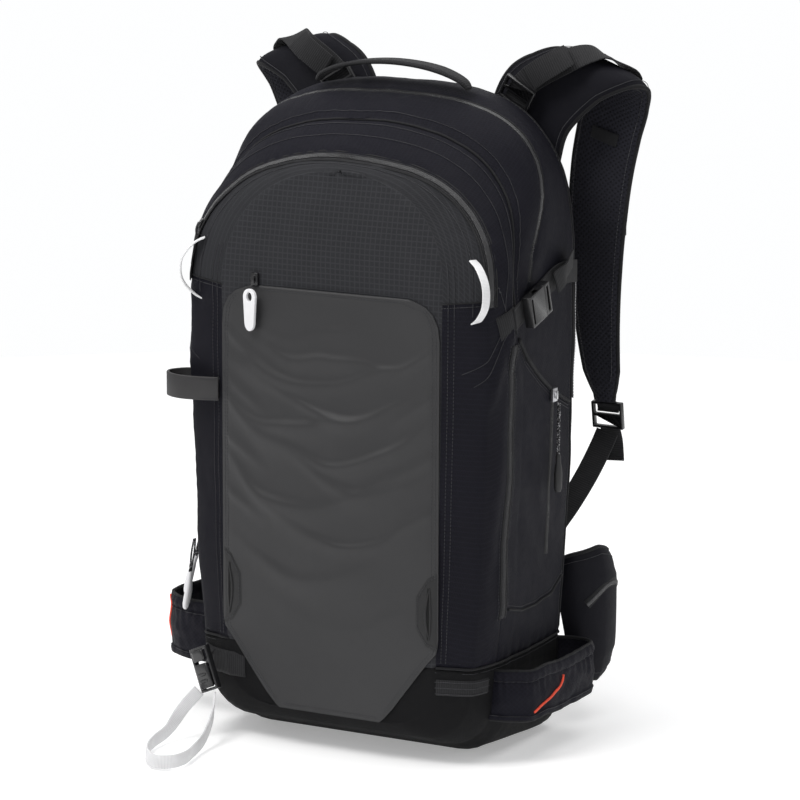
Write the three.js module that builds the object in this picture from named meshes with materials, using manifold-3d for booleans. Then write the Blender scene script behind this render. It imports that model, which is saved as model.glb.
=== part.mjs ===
// A 32-litre ski touring pack that carries an avalanche airbag, as separate solids, in millimetres.
// +Z is up, the front of the pack faces -Y, the harness is on the +Y side and the wearer's right is +X.
// The origin is the centre of the flat base that the pack stands on.
import * as THREE from 'three';
import { mergeVertices } from 'three/addons/utils/BufferGeometryUtils.js';
import Module from 'manifold-3d';

const wasm = await Module();
wasm.setup();

// ---------------------------------------------------------------- driving dimensions
const GAP = 0.4; // clearance between neighbouring solids
const WALL = 4; // padded wall of the main compartment
const SKIN = 3; // height of a zip or a coated panel above the body
const LEAN_FROM = 400; // height at which the front starts to lean back
const LEAN_TO = 520; // height at which the lean is complete
const BASE_SEAM = 88; // height of the seam between the base tub and the upper body
const FRONT_CENTRE = 215; // height at which the front bulges most
const FRONT_CROWN = 8; // bulge of the front face
const FRONT_CROWN_REACH = 190; // vertical reach of the bulge

// Cross-sections of the packed body, from the front seam to the back face. Each is an arch:
// a rounded flat bottom, sides that open towards the shoulder height and a superellipse top.
const FRONT_SEAM = {
  y: -87.5, lean: 14, half: 109, base: 104,
  bottom: 34, corner: 40, shoulder: 405, top: 508, power: 2.3,
};
const TOOL_ARCH = {
  y: -74.5, lean: 17, half: 148, base: 134,
  bottom: 20, corner: 46, shoulder: 410, top: 519, power: 2.3,
};
const SECOND_ARCH = {
  y: -47, lean: 24, half: 154, base: 140,
  bottom: 10, corner: 46, shoulder: 420, top: 549, power: 2.45,
};
const MAIN_ARCH = {
  y: -22, lean: 38, half: 154, base: 140,
  bottom: 0, corner: 44, shoulder: 438, top: 568, power: 3.2,
};
const CROWN_ARCH = {
  y: 30, lean: 10, half: 152.5, base: 138,
  bottom: 0, corner: 32, shoulder: 430, top: 575, power: 2.9,
};
const BACK_EDGE = {
  y: 78, lean: 0, half: 149, base: 135,
  bottom: 0, corner: 22, shoulder: 420, top: 571, power: 2.7,
};
const BACK_FACE = {
  y: 87.5, lean: 0, half: 143, base: 130,
  bottom: 4, corner: 22, shoulder: 420, top: 563, power: 2.7,
};
const BODY = [FRONT_SEAM, TOOL_ARCH, SECOND_ARCH, MAIN_ARCH, CROWN_ARCH, BACK_EDGE, BACK_FACE];

const DOOR = { half: 127, low: 170, top: 546.5, corner: 14, shoulder: 410, power: 2.6, thick: 4 };
const DOOR_PLAY = 1.5; // gap between the back panel and its opening
const SHEET = { half: 104, low: 190, top: 528, corner: 20, shoulder: 420, power: 3, thick: 2 };
const CYLINDER = { x: -52, y: 46, radius: 28, low: 205, high: 392 };
const WEB_THICK = 2.2; // webbing thickness

// ---------------------------------------------------------------- finishes
const look = (color, roughness = 0.85, metalness = 0) =>
  new THREE.MeshStandardMaterial({ color, roughness, metalness });
const LOOKS = {
  ripstop: () => look(0x1c1d21, 0.8),
  front: () => look(0x2b2d30, 0.75),
  coated: () => look(0x333538, 0.55),
  navy: () => look(0x14161d, 0.85),
  zip: () => look(0x0d0d0f, 0.6),
  webbing: () => look(0x101012, 0.9),
  white: () => look(0xe9e9ec, 0.7),
  plastic: () => look(0x17181a, 0.4),
  rubber: () => look(0x151515, 0.6),
  mesh: () => look(0x121317, 0.95),
  sheet: () => look(0xb9bcc0, 0.5),
  airbag: () => look(0xc8321e, 0.7),
  steel: () => look(0x9aa0a6, 0.3, 0.9),
  cable: () => look(0x202224, 0.5),
};

// ---------------------------------------------------------------- small helpers
const vec = (x, y, z) => new THREE.Vector3(x, y, z);
const mix = (a, b, t) => a + (b - a) * t;
const smooth = (low, high, value) => THREE.MathUtils.smoothstep(value, low, high);

function solid(geometry) {
  const bare = geometry.clone();
  bare.deleteAttribute('normal');
  bare.deleteAttribute('uv');
  const merged = mergeVertices(bare, 1e-4);
  return new wasm.Manifold(new wasm.Mesh({
    numProp: 3,
    vertProperties: new Float32Array(merged.attributes.position.array),
    triVerts: new Uint32Array(merged.index.array),
  }));
}

function geometryOf(body) {
  const mesh = body.getMesh();
  const geometry = new THREE.BufferGeometry();
  geometry.setAttribute('position', new THREE.BufferAttribute(new Float32Array(mesh.vertProperties), 3));
  geometry.setIndex(new THREE.BufferAttribute(new Uint32Array(mesh.triVerts), 1));
  return geometry;
}

function signedVolume(positions, index) {
  let sum = 0;
  for (let i = 0; i < index.length; i += 3) {
    const [a, b, c] = [0, 1, 2].map((k) => new THREE.Vector3().fromArray(positions, index[i + k] * 3));
    sum += a.dot(b.cross(c));
  }
  return sum;
}

// A closed surface through rings of equal point count, capped by fans unless it joins up with itself.
function loft(rings, { closed = false } = {}) {
  const count = rings[0].length;
  const points = rings.flat();
  const index = [];
  const spans = closed ? rings.length : rings.length - 1;
  for (let i = 0; i < spans; i++) {
    const near = i * count;
    const far = ((i + 1) % rings.length) * count;
    for (let j = 0; j < count; j++) {
      const k = (j + 1) % count;
      index.push(near + j, far + j, far + k, near + j, far + k, near + k);
    }
  }
  if (!closed) {
    const fan = (ring, offset, flip) => {
      const centre = points.push(ring.reduce((s, p) => s.add(p), vec(0, 0, 0)).divideScalar(count)) - 1;
      for (let j = 0; j < count; j++) {
        const k = (j + 1) % count;
        index.push(centre, offset + (flip ? k : j), offset + (flip ? j : k));
      }
    };
    fan(rings[0], 0, false);
    fan(rings[rings.length - 1], (rings.length - 1) * count, true);
  }
  const positions = points.flatMap((p) => [p.x, p.y, p.z]);
  if (signedVolume(positions, index) < 0) {
    for (let i = 0; i < index.length; i += 3) [index[i + 1], index[i + 2]] = [index[i + 2], index[i + 1]];
  }
  const geometry = new THREE.BufferGeometry();
  geometry.setAttribute('position', new THREE.Float32BufferAttribute(positions, 3));
  geometry.setIndex(index);
  return geometry;
}

// Prisms: an outline in one plane, carried along the third axis.
function prism(outline, basis, start, depth) {
  const shape = new THREE.Shape(outline.map(([u, v]) => new THREE.Vector2(u, v)));
  const geometry = new THREE.ExtrudeGeometry(shape, { depth, bevelEnabled: false });
  geometry.translate(0, 0, start);
  return geometry.applyMatrix4(basis);
}
const BASIS_X = new THREE.Matrix4().makeBasis(vec(0, 1, 0), vec(0, 0, 1), vec(1, 0, 0));
const BASIS_Y = new THREE.Matrix4().makeBasis(vec(1, 0, 0), vec(0, 0, 1), vec(0, -1, 0));
const BASIS_Z = new THREE.Matrix4();
const prismX = (outlineYZ, x0, x1) => prism(outlineYZ, BASIS_X, x0, x1 - x0);
const prismY = (outlineXZ, y0, y1) => prism(outlineXZ, BASIS_Y, -y1, y1 - y0);
const prismZ = (outlineXY, z0, z1) => prism(outlineXY, BASIS_Z, z0, z1 - z0);

function box(x0, x1, y0, y1, z0, z1) {
  const geometry = new THREE.BoxGeometry(x1 - x0, y1 - y0, z1 - z0);
  return geometry.translate((x0 + x1) / 2, (y0 + y1) / 2, (z0 + z1) / 2);
}

// ---------------------------------------------------------------- bands, straps and pads
// Each row is [x, y, z, width, thickness, width direction x, y, z]. The section is a rectangle
// with its corners cut by `chamfer`, and a smooth curve runs through the rows. A ruled band keeps
// the width directions as they are given; any other turns them square to the curve.
function bandFrames(rows, steps, { closed = false, ruled = false } = {}) {
  const curve = new THREE.CatmullRomCurve3(rows.map((r) => vec(r[0], r[1], r[2])), closed, 'centripetal');
  const spans = closed ? rows.length : rows.length - 1;
  const frames = [];
  const last = closed ? steps - 1 : steps;
  for (let i = 0; i <= last; i++) {
    const t = i / steps;
    const at = Math.min(Math.floor(t * spans), spans - 1);
    const f = t * spans - at;
    const a = rows[at];
    const b = rows[(at + 1) % rows.length];
    const value = (k) => mix(a[k], b[k], f);
    const point = curve.getPoint(t);
    const tangent = curve.getTangent(t);
    const across = vec(value(5), value(6), value(7));
    if (!ruled) across.addScaledVector(tangent, -across.dot(tangent));
    across.normalize();
    const outward = new THREE.Vector3().crossVectors(tangent, across).normalize();
    frames.push({ point, tangent, across, outward, width: value(3), thick: value(4) });
  }
  return frames;
}

function section({ point, across, outward, width, thick }, chamfer, lift = 0) {
  const w = width / 2;
  const h = thick / 2;
  const c = Math.min(chamfer, h * 0.8);
  const corners = chamfer > 0
    ? [[w, h - c], [w - c, h], [c - w, h], [-w, h - c], [-w, c - h], [c - w, -h], [w - c, -h], [w, c - h]]
    : [[w, h], [-w, h], [-w, -h], [w, -h]];
  return corners.map(([u, v]) => point.clone().addScaledVector(across, u).addScaledVector(outward, v + lift));
}

function band(rows, steps, { closed = false, ruled = false, chamfer = 0 } = {}) {
  return loft(bandFrames(rows, steps, { closed, ruled }).map((frame) => section(frame, chamfer)), { closed });
}

// The same rows on the wearer's right (side 1) or left (side -1).
const sided = (rows, side) => rows.map(([x, y, z, width, thick, ax, ay, az]) => (
  [x * side, y, z, width, thick, ax * side, ay, az]
));

// Webbing of one width and thickness through plain points, with one width direction.
const webRows = (points, width, direction, thick = WEB_THICK) =>
  points.map(([x, y, z]) => [x, y, z, width, thick, ...direction]);

// ---------------------------------------------------------------- the packed body
const ringY = (st, z) => st.y + st.lean * smooth(LEAN_FROM, LEAN_TO, z);

function frontY(x, z) {
  const across = Math.max(0, 1 - (x / FRONT_SEAM.half) ** 2);
  const along = Math.max(0, 1 - ((z - FRONT_CENTRE) / FRONT_CROWN_REACH) ** 2);
  return ringY(FRONT_SEAM, z) - FRONT_CROWN * across * along;
}

function archOutline({ half, base, bottom, corner, shoulder, top, power }, grow = 0) {
  const right = [[base + grow - corner, bottom - grow]];
  for (const turn of [30, 60, 90]) {
    const a = THREE.MathUtils.degToRad(turn);
    right.push([base + grow - corner * (1 - Math.sin(a)), bottom - grow + corner * (1 - Math.cos(a))]);
  }
  for (const t of [0.2, 0.45, 0.72, 1]) {
    const opening = 1 - (1 - t) ** 2.2;
    right.push([mix(base, half, opening) + grow, mix(bottom + corner, shoulder, t)]);
  }
  for (const turn of [15, 30, 45, 60, 75]) {
    const a = THREE.MathUtils.degToRad(turn);
    right.push([
      (half + grow) * Math.cos(a) ** (2 / power),
      shoulder + (top + grow - shoulder) * Math.sin(a) ** (2 / power),
    ]);
  }
  const left = right.map(([x, z]) => [-x, z]).reverse();
  return [[0, bottom - grow], ...right, [0, top + grow], ...left];
}

// The whole body surface, moved outwards by `grow`.
function bodyLoft(grow = 0) {
  const frontRing = archOutline(FRONT_SEAM, grow);
  const rings = [0.2, 0.5, 0.8].map((s) => frontRing.map(([x, z]) => {
    const height = mix(FRONT_CENTRE, z, s);
    return vec(x * s, frontY(x * s, height) - grow, height);
  }));
  for (const st of BODY) {
    const shift = st === FRONT_SEAM ? -grow : st === BACK_FACE ? grow : 0;
    rings.push(archOutline(st, grow).map(([x, z]) => vec(x, ringY(st, z) + shift, z)));
  }
  return loft(rings);
}

const body = solid(bodyLoft());
const bodyClear = solid(bodyLoft(GAP));
const bodySkin = solid(bodyLoft(SKIN));
const clearOfBody = (geometry) => solid(geometry).subtract(bodyClear);

// A skin over part of the body: what lies between two grown bodies inside a prism.
const patch = (region, outer = bodySkin) => outer.subtract(bodyClear).intersect(solid(region));

// Everything in front of the surface that carries the second arch, moved by `offset`.
function frontRegion(offset) {
  const heights = [-60, LEAN_FROM, 430, 460, 490, LEAN_TO, 640];
  const profile = heights.map((z) => [ringY(SECOND_ARCH, z) + offset, z]);
  return solid(prismX([[-240, -60], ...profile, [-240, 640]], -240, 240));
}

// The curtain of space within `halfWidth` of one arch's plane, above `low`.
function curtain(st, halfWidth, low, x0 = -240, x1 = 240) {
  const heights = [low, LEAN_FROM, 430, 460, 490, LEAN_TO, 640].filter((z) => z >= low);
  const front = heights.map((z) => [ringY(st, z) - halfWidth, z]);
  const back = heights.map((z) => [ringY(st, z) + halfWidth, z]).reverse();
  return prismX([...front, ...back], x0, x1);
}

function cavity() {
  const floor = 6;
  const inner = [
    { ...SECOND_ARCH, y: SECOND_ARCH.y + WALL + 1 },
    MAIN_ARCH,
    CROWN_ARCH,
    BACK_EDGE,
    { ...BACK_FACE, y: BACK_FACE.y - WALL },
  ];
  return solid(loft(inner.map((st) => archOutline({ ...st, bottom: floor - WALL }, -WALL)
    .map(([x, z]) => vec(x, ringY(st, z), z)))));
}

function doorOutline({ half, low, top, corner, shoulder, power }) {
  const right = [[half - corner, low]];
  for (const turn of [45, 90]) {
    const a = THREE.MathUtils.degToRad(turn);
    right.push([half - corner * (1 - Math.sin(a)), low + corner * (1 - Math.cos(a))]);
  }
  for (const turn of [0, 18, 36, 54, 72]) {
    const a = THREE.MathUtils.degToRad(turn);
    right.push([half * Math.cos(a) ** (2 / power), shoulder + (top - shoulder) * Math.sin(a) ** (2 / power)]);
  }
  return [...right, [0, top], ...right.map(([x, z]) => [-x, z]).reverse()];
}

const grownDoor = (by) => ({ ...DOOR, half: DOOR.half + by, low: DOOR.low - by, top: DOOR.top + by });

const above = solid(box(-240, 240, -240, 240, BASE_SEAM + GAP / 2, 640));
const below = solid(box(-240, 240, -240, 240, -60, BASE_SEAM - GAP / 2));
const inside = cavity();
const doorHole = solid(prismY(doorOutline(grownDoor(DOOR_PLAY)), BACK_FACE.y - 30, BACK_FACE.y + 30));

const upperShell = body.intersect(above).subtract(frontRegion(GAP / 2));
const mainShell = () => upperShell.subtract(inside).subtract(doorHole);
const basePanel = () => body.intersect(below).subtract(inside);
const toolPocket = () => body.intersect(above).intersect(frontRegion(-GAP / 2));

// The coated lower front: flat top edge, sides on the front seams and a bottom that points down.
function frontPanel() {
  const side = FRONT_SEAM.half - 2;
  const outline = [
    [-52, 34], [52, 34], [96, 92], [side, 100], [side, 376], [98, 398], [78, 406],
    [-78, 406], [-98, 398], [-side, 376], [-side, 100], [-96, 92],
  ];
  return patch(prismY(outline, -140, -60), solid(bodyLoft(2.6)));
}

const toolZipper = () => patch(curtain(TOOL_ARCH, 6, 446));
const mainZipper = () => patch(curtain(MAIN_ARCH, 4.5, 418));

function backZipper() {
  const outer = prismY(doorOutline(grownDoor(DOOR_PLAY + 9)), 60, 100);
  const inner = prismY(doorOutline(grownDoor(DOOR_PLAY)), 50, 110);
  return patch(outer, solid(bodyLoft(1.8))).subtract(solid(inner));
}

const SIDE_ZIP = { y: -46, low: 129, high: 368, half: 5 };
function sideZipper(side) {
  const { y, low, high, half } = SIDE_ZIP;
  const [x0, x1] = side > 0 ? [100, 200] : [-200, -100];
  return patch(box(x0, x1, y - half, y + half, low, high), solid(bodyLoft(1.8)));
}

// ---------------------------------------------------------------- sewn-on loops and sleeves
function toolLoop(side) {
  const out = [0.86 * side, -0.5];
  const foot = [131 * side, -76];
  const rows = [[0, 391], [11, 394], [21, 405], [23, 415], [21, 426], [11, 437], [0, 440]].map(([reach, z]) => [
    foot[0] + out[0] * reach, foot[1] + out[1] * reach, z, 9, 2, 0.5, 0.86 * side, 0,
  ]);
  return clearOfBody(band(rows, 12));
}

function skiLoopUpper() {
  const plan = [
    [-109, -88], [-126, -94], [-148, -96], [-164, -88], [-169, -77], [-164, -66], [-156, -60], [-148, -58],
  ];
  return clearOfBody(band(plan.map(([x, y]) => [x, y, 312, 21, 3, 0, 0, 1]), 16))
    .subtract(solid(box(-106, 0, -120, 0, 290, 330)));
}

// Open sleeves for ski tails low on the sides. The left one stands out more than the right one.
const SLEEVE_RIGHT = [
  [136, -48], [154, -44], [166, -34], [171, -12], [172, 20], [172, 55], [170, 80], [160, 91], [132, 84],
];
const SLEEVE_LEFT = [
  [136, -40], [158, -42], [184, -36], [202, -22], [207, 0], [202, 26], [190, 54], [170, 80], [132, 84],
];
function skiSleeve(side) {
  const [plan, height, width] = side > 0 ? [SLEEVE_RIGHT, 60, 44] : [SLEEVE_LEFT, 78, 54];
  return clearOfBody(band(plan.map(([x, y]) => [x * side, y, height, width, 3.4, 0, 0, 1]), 18));
}

function grabHandle() {
  const rows = [
    [-75, 573, 8], [-70, 580, 14], [-46, 589.5, 20], [0, 594.5, 20],
    [46, 589.5, 20], [70, 580, 14], [75, 573, 8],
  ];
  return band(rows.map(([x, z, w]) => [x, 22, z, w, 4, 0, 1, 0]), 14);
}

// The long loop for a ski tip or tail: it leaves the buckle, drops and lies on edge on the ground.
function skiLoopLower() {
  const rows = [
    [-108, -105, 40], [-102, -118, 26], [-97, -140, 11], [-91, -168, 6.6], [-86, -192, 6.6],
    [-90, -207, 6.6], [-102, -212, 6.6], [-117, -201, 6.6], [-130, -180, 6.6], [-138, -156, 6.6],
    [-138, -134, 11], [-132, -118, 28], [-124, -105, 42],
  ];
  return band(rows.map(([x, y, z]) => [x, y, z, 12, 2, 0, 0.2, 1]), 34);
}

// ---------------------------------------------------------------- buckles
// A side-release buckle along +X: the socket opens towards +X and the plug enters it from there.
function buckleSocket(width, length, thick) {
  const shell = solid(box(-length, 0, -width / 2, width / 2, -thick / 2, thick / 2));
  const hollow = solid(box(8 - length, 1, 2.2 - width / 2, width / 2 - 2.2, 1.4 - thick / 2, thick / 2 - 1.4));
  const window = solid(box(-length * 0.62, -length * 0.3, -width, width, 1.9 - thick / 2, thick / 2 - 1.9));
  const slot = solid(box(2.2 - length, 5 - length, 2.5 - width / 2, width / 2 - 2.5, -thick, thick));
  return shell.subtract(hollow).subtract(window).subtract(slot);
}

function bucklePlug(width, length, thick, reach) {
  const flange = solid(box(GAP, 10, -width / 2, width / 2, -thick / 2, thick / 2));
  const slot = solid(box(4, 7.5, 2.5 - width / 2, width / 2 - 2.5, -thick, thick));
  const rail = thick / 2 - 1.4 - GAP;
  const edge = width / 2 - 2.2 - GAP;
  let plug = flange.subtract(slot);
  for (const side of [-1, 1]) {
    const outline = [[1, edge - 3.4], [-reach, edge - 2.6], [-reach * 0.55, edge], [1, edge - 0.4]];
    const ordered = side > 0 ? outline : outline.map(([x, y]) => [x, -y]).reverse();
    plug = plug.add(solid(prismZ(ordered, -rail, rail)));
  }
  return plug.add(solid(box(-reach * 0.8, 1, -1.6, 1.6, -rail, rail)));
}

// Moves a shape from its own frame, with its length along +X and its face along +Z, to a place
// given by the directions of its length and its face.
function placed(shape, origin, along, face) {
  const x = along.clone().normalize();
  const z = face.clone().addScaledVector(x, -face.dot(x)).normalize();
  const y = new THREE.Vector3().crossVectors(z, x);
  const matrix = new THREE.Matrix4().makeBasis(x, y, z).setPosition(origin);
  return geometryOf(shape).applyMatrix4(matrix);
}

// A three-bar slider that locks webbing: a frame with two slots.
function ladderLock(width, length, thick) {
  const frame = solid(box(0, length, -width / 2, width / 2, -thick / 2, thick / 2));
  const gapLength = (length - 7.5) / 2;
  const first = solid(box(2.5, 2.5 + gapLength, 2.5 - width / 2, width / 2 - 2.5, -thick, thick));
  const second = solid(box(5 + gapLength, length - 2.5, 2.5 - width / 2, width / 2 - 2.5, -thick, thick));
  return frame.subtract(first).subtract(second);
}

// ---------------------------------------------------------------- compression straps
const COMPRESSION = [
  [155.5, -64, 388], [157.4, -45, 392], [157.8, -20, 399], [158, 10, 409],
  [156.5, 45, 423], [153.5, 70, 434], [149, 90, 443],
];
const COMPRESSION_BUCKLE = { width: 28, length: 26, thick: 8, reach: 17 };
function compressionStrap(side) {
  const rows = sided(webRows(COMPRESSION, 20, [0, -0.3, 1], 1.8), side);
  const ends = solid(box(-240, 240, -120, -52, 300, 500)).add(solid(box(-240, 240, 86, 120, 300, 500)));
  return clearOfBody(band(rows, 20)).subtract(ends);
}

function compressionFrame(side) {
  const origin = vec(163.4 * side, -10, 402);
  return { origin, along: vec(0, 1, 0.3), face: vec(side, 0, 0) };
}

// ---------------------------------------------------------------- back panel and its frame
const backPanel = () => prismY(doorOutline(DOOR), BACK_FACE.y - DOOR.thick, BACK_FACE.y - 0.1);

function backPad() {
  const levels = [[0, 0], [3, 4], [8, 5], [11, 0], [12.5, -9]];
  return loft(levels.map(([depth, grow]) => doorOutline({
    half: 86 + grow, low: 192 - grow, top: 458 + grow, corner: 26, shoulder: 330, power: 2.8,
  }).map(([x, z]) => vec(x, BACK_FACE.y + GAP + depth, z))));
}

// Stiffening sheet behind the back panel, with a hoop-shaped stay riveted to it.
function frameSheet() {
  const back = BACK_FACE.y - DOOR.thick - GAP;
  const sheet = solid(prismY(doorOutline(SHEET), back - SHEET.thick, back));
  return sheet.add(solid(frameStay(back - SHEET.thick - 1.4)));
}

function frameStay(y) {
  const rows = [
    [-70, 210], [-76, 330], [-72, 450], [-52, 500], [0, 512], [52, 500], [72, 450], [76, 330], [70, 210],
  ];
  return band(rows.map(([x, z]) => {
    const side = Math.max(-1, Math.min(1, x / 60));
    return [x, y, z, 12, 3, side, 0, -1 + Math.abs(side)];
  }), 24);
}

function lumbarPad() {
  const levels = [[0, 0], [4, 3], [12, 2], [17, -5]];
  return loft(levels.map(([depth, grow]) => doorOutline({
    half: 124 + grow, low: 36 - grow, top: 153 + Math.min(grow, 0), corner: 30, shoulder: 96, power: 3,
  }).map(([x, z]) => vec(x, BACK_FACE.y + GAP + depth, z))));
}

// ---------------------------------------------------------------- shoulder straps
// The right strap, from its root on the back panel over the crest to its lower end: the inboard
// edge, the outboard edge and the thickness.
const STRAP_EDGES = [
  [54, 101, 528, 120, 101, 478, 11], [60, 101, 562, 124, 101, 512, 12], [72, 103, 584, 132, 101, 534, 12],
  [92, 108, 597, 160, 106, 562, 13], [114, 117, 603, 190, 112, 574, 14], [128, 128, 597, 197, 124, 570, 14],
  [130, 137, 578, 191, 135, 552, 14], [124, 140, 545, 182, 139, 525, 13], [117, 140, 505, 175, 140, 495, 13],
  [114, 140, 455, 169, 140, 452, 12], [116, 140, 405, 165, 140, 405, 12], [122, 141, 355, 163, 141, 355, 11],
  [129, 143, 315, 163, 143, 315, 10], [138, 146, 294, 158, 146, 294, 9], [139, 147, 287, 157, 147, 287, 8],
];
const STRAP = STRAP_EDGES.map(([x0, y0, z0, x1, y1, z1, thick]) => {
  const width = Math.hypot(x1 - x0, y1 - y0, z1 - z0);
  return [(x0 + x1) / 2, (y0 + y1) / 2, (z0 + z1) / 2, width, thick, x1 - x0, y1 - y0, z1 - z0];
});
const STRAP_STEPS = 28;
const strapFrames = bandFrames(STRAP, STRAP_STEPS, { ruled: true });

// A point on the right strap: `t` along it, `u` across it (outboard positive) and `lift` above its outer face.
function onStrap(t, u, lift) {
  const at = Math.min(Math.floor(t * STRAP_STEPS), STRAP_STEPS - 1);
  const f = t * STRAP_STEPS - at;
  const a = strapFrames[at];
  const b = strapFrames[at + 1];
  const point = a.point.clone().lerp(b.point, f);
  const across = a.across.clone().lerp(b.across, f).normalize();
  const outer = a.outward.clone().lerp(b.outward, f).normalize().multiplyScalar(OUTER_SIGN);
  const height = mix(a.thick, b.thick, f) / 2 + lift;
  return { point: point.addScaledVector(across, u).addScaledVector(outer, height), across, outer };
}
// The outer face of the hanging part looks away from the pack.
const OUTER_SIGN = Math.sign(strapFrames[STRAP_STEPS - 6].outward.y);

// The trigger cable runs inside the left strap, then through the back panel to the inflator.
function cableRoute() {
  const inStrap = [0.02, 0.09, 0.16, 0.23, 0.3, 0.37, 0.44, 0.51, 0.58, 0.65].map((t) => {
    const index = t * STRAP_STEPS;
    const a = strapFrames[Math.floor(index)];
    const b = strapFrames[Math.ceil(index)];
    const p = a.point.clone().lerp(b.point, index - Math.floor(index));
    return vec(-p.x, p.y, p.z);
  });
  return [
    vec(-54, 54, 441.5), vec(-60, 66, 456), vec(-73, 78, 470), vec(-84, 90, 480), ...inStrap,
    vec(-141, 147, 388), vec(-141, 153, 376),
  ];
}

function tube(points, radius, steps, sides = 8) {
  const ring = new THREE.Shape();
  for (let i = 0; i < sides; i++) {
    const a = (i / sides) * Math.PI * 2;
    const p = [radius * Math.cos(a), radius * Math.sin(a)];
    if (i === 0) ring.moveTo(...p);
    else ring.lineTo(...p);
  }
  const curve = new THREE.CatmullRomCurve3(points, false, 'centripetal');
  return new THREE.ExtrudeGeometry(ring, { steps, extrudePath: curve, bevelEnabled: false });
}

const CABLE_STEPS = 56;
const triggerCable = () => tube(cableRoute(), 2, CABLE_STEPS);
const cableChannel = () => solid(tube(cableRoute(), 2 + GAP * 1.6, CABLE_STEPS));

function shoulderStrap(side) {
  const strap = band(sided(STRAP, side), STRAP_STEPS, { ruled: true, chamfer: 4 });
  return side < 0 ? solid(strap).subtract(cableChannel()) : strap;
}

// Load lifter: from the top edge of the back panel, through its buckle and onto the strap's crest.
const LIFTER_STEPS = 16;
const LIFTER = [[80, 90.2, 532], [85, 90, 556], [96, 88.5, 574]].map((p) => [...p, 24, 1.6, 0.75, 0, -0.66]);
for (const [t, u, lift] of [[0.25, -10, 9], [0.29, -6, 5], [0.325, 2, 1.8], [0.36, 8, 1.5]]) {
  const { point, across } = onStrap(t, u, lift);
  LIFTER.push([point.x, point.y, point.z, 24, 1.6, across.x, across.y, across.z]);
}
const thickerStrap = STRAP.map(([x, y, z, width, thick, ...rest]) => [x, y, z, width + 1, thick + 1, ...rest]);
const strapClear = solid(band(thickerStrap, STRAP_STEPS, { ruled: true }));
const rightLifter = solid(band(LIFTER, LIFTER_STEPS)).subtract(strapClear);

function loadLifter(side) {
  return side < 0 ? rightLifter.mirror([1, 0, 0]) : rightLifter;
}

const LIFTER_BUCKLE = { width: 32, length: 22, thick: 5, step: 4 };
function lifterBuckle(side) {
  const { width, length, thick, step } = LIFTER_BUCKLE;
  const { point, tangent, outward } = bandFrames(LIFTER, LIFTER_STEPS)[step];
  const face = outward.clone().multiplyScalar(-Math.sign(outward.y));
  const height = 0.8 + GAP * 2 + thick / 2;
  const origin = point.clone().addScaledVector(face, height).addScaledVector(tangent, -length / 2);
  const flip = ({ x, y, z }) => vec(x * side, y, z);
  return placed(ladderLock(width, length, thick), flip(origin), flip(tangent), flip(face));
}

const LADDER = { width: 30, length: 25, thick: 5 };
const LADDER_TOP = vec(149, 149.5, 286);
const LADDER_ALONG = vec(0, 0.16, -1);
const STRAP_FOOT = [122, 94, 176];

function strapWebbing(side) {
  const points = [[148, 152.5, 256.5], [145, 147, 246], [139, 131, 222], [131, 111, 197], STRAP_FOOT];
  return band(sided(webRows(points, 22, [0.97, 0, -0.25]), side), 12);
}

// ---------------------------------------------------------------- sternum strap and trigger
const STERNUM = { z: 446, y: 149.6, buckleWidth: 20, buckleLength: 22, buckleThick: 7 };
const sternumWebbing = (side) => {
  const [inner, outer] = side < 0 ? [-22.6, -166] : [11, 166];
  const x0 = Math.min(inner, outer);
  const x1 = Math.max(inner, outer);
  return box(x0, x1, STERNUM.y - 1, STERNUM.y + 1, STERNUM.z - 9, STERNUM.z + 9);
};

function triggerHandle() {
  const profile = [[0, 316], [7, 316], [10, 320], [10.5, 344], [9, 360], [5, 368], [4.5, 374.5], [0, 374.5]];
  const lathe = new THREE.LatheGeometry(profile.map(([r, z]) => new THREE.Vector2(r, z)), 14);
  lathe.rotateX(Math.PI / 2);
  lathe.scale(1.15, 0.62, 1);
  return lathe.translate(-141, 157, 0);
}

// ---------------------------------------------------------------- airbag system
function latheZ(profile, x, y, segments = 20) {
  const lathe = new THREE.LatheGeometry(profile.map(([r, z]) => new THREE.Vector2(r, z)), segments);
  return lathe.rotateX(Math.PI / 2).translate(x, y, 0);
}

function gasCylinder() {
  const { x, y, radius: r, low, high } = CYLINDER;
  return latheZ([
    [0, low], [r * 0.7, low], [r, low + 10], [r, high - 26], [r * 0.8, high - 12], [r * 0.42, high - 4],
    [r * 0.42, high + 4], [0, high + 4],
  ], x, y);
}

function inflator() {
  const { x, y, high } = CYLINDER;
  const low = high + 4 + GAP;
  const profile = [[0, low], [19, low], [19, low + 26], [13, low + 34], [13, low + 42], [0, low + 42]];
  const barrel = solid(latheZ(profile, x, y));
  const intake = solid(box(x + 8, x + 44, y - 13, y + 13, low + 3, low + 24));
  return barrel.add(intake).subtract(solid(box(x + 22, x + 60, y - 10, y + 10, low + 6, low + 21)));
}

function airbagPacked() {
  const inset = 3.5;
  const rings = [[-10, 0], [-3, 5], [42, 6], [50, 0]].map(([y, grow]) => archOutline({
    half: 112 + grow, base: 108 + grow, bottom: 461 - grow, corner: 14,
    shoulder: 492, top: 545 + grow - inset, power: 3,
  }).map(([x, z]) => vec(x, y, z)));
  return loft(rings);
}

// ---------------------------------------------------------------- hip belt
const WING = [
  [131, 102, 94, 104, 11], [146, 107, 97, 118, 13], [154, 124, 98, 124, 18], [152, 146, 97, 110, 18],
  [137, 167, 96, 90, 14], [115, 184, 95, 72, 10], [95, 195, 95, 58, 9],
];
function hipWing(side) {
  return band(WING.map(([x, y, z, w, t]) => [x * side, y, z, w, t, 0, 0, 1]), 16, { chamfer: 5 });
}

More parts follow.
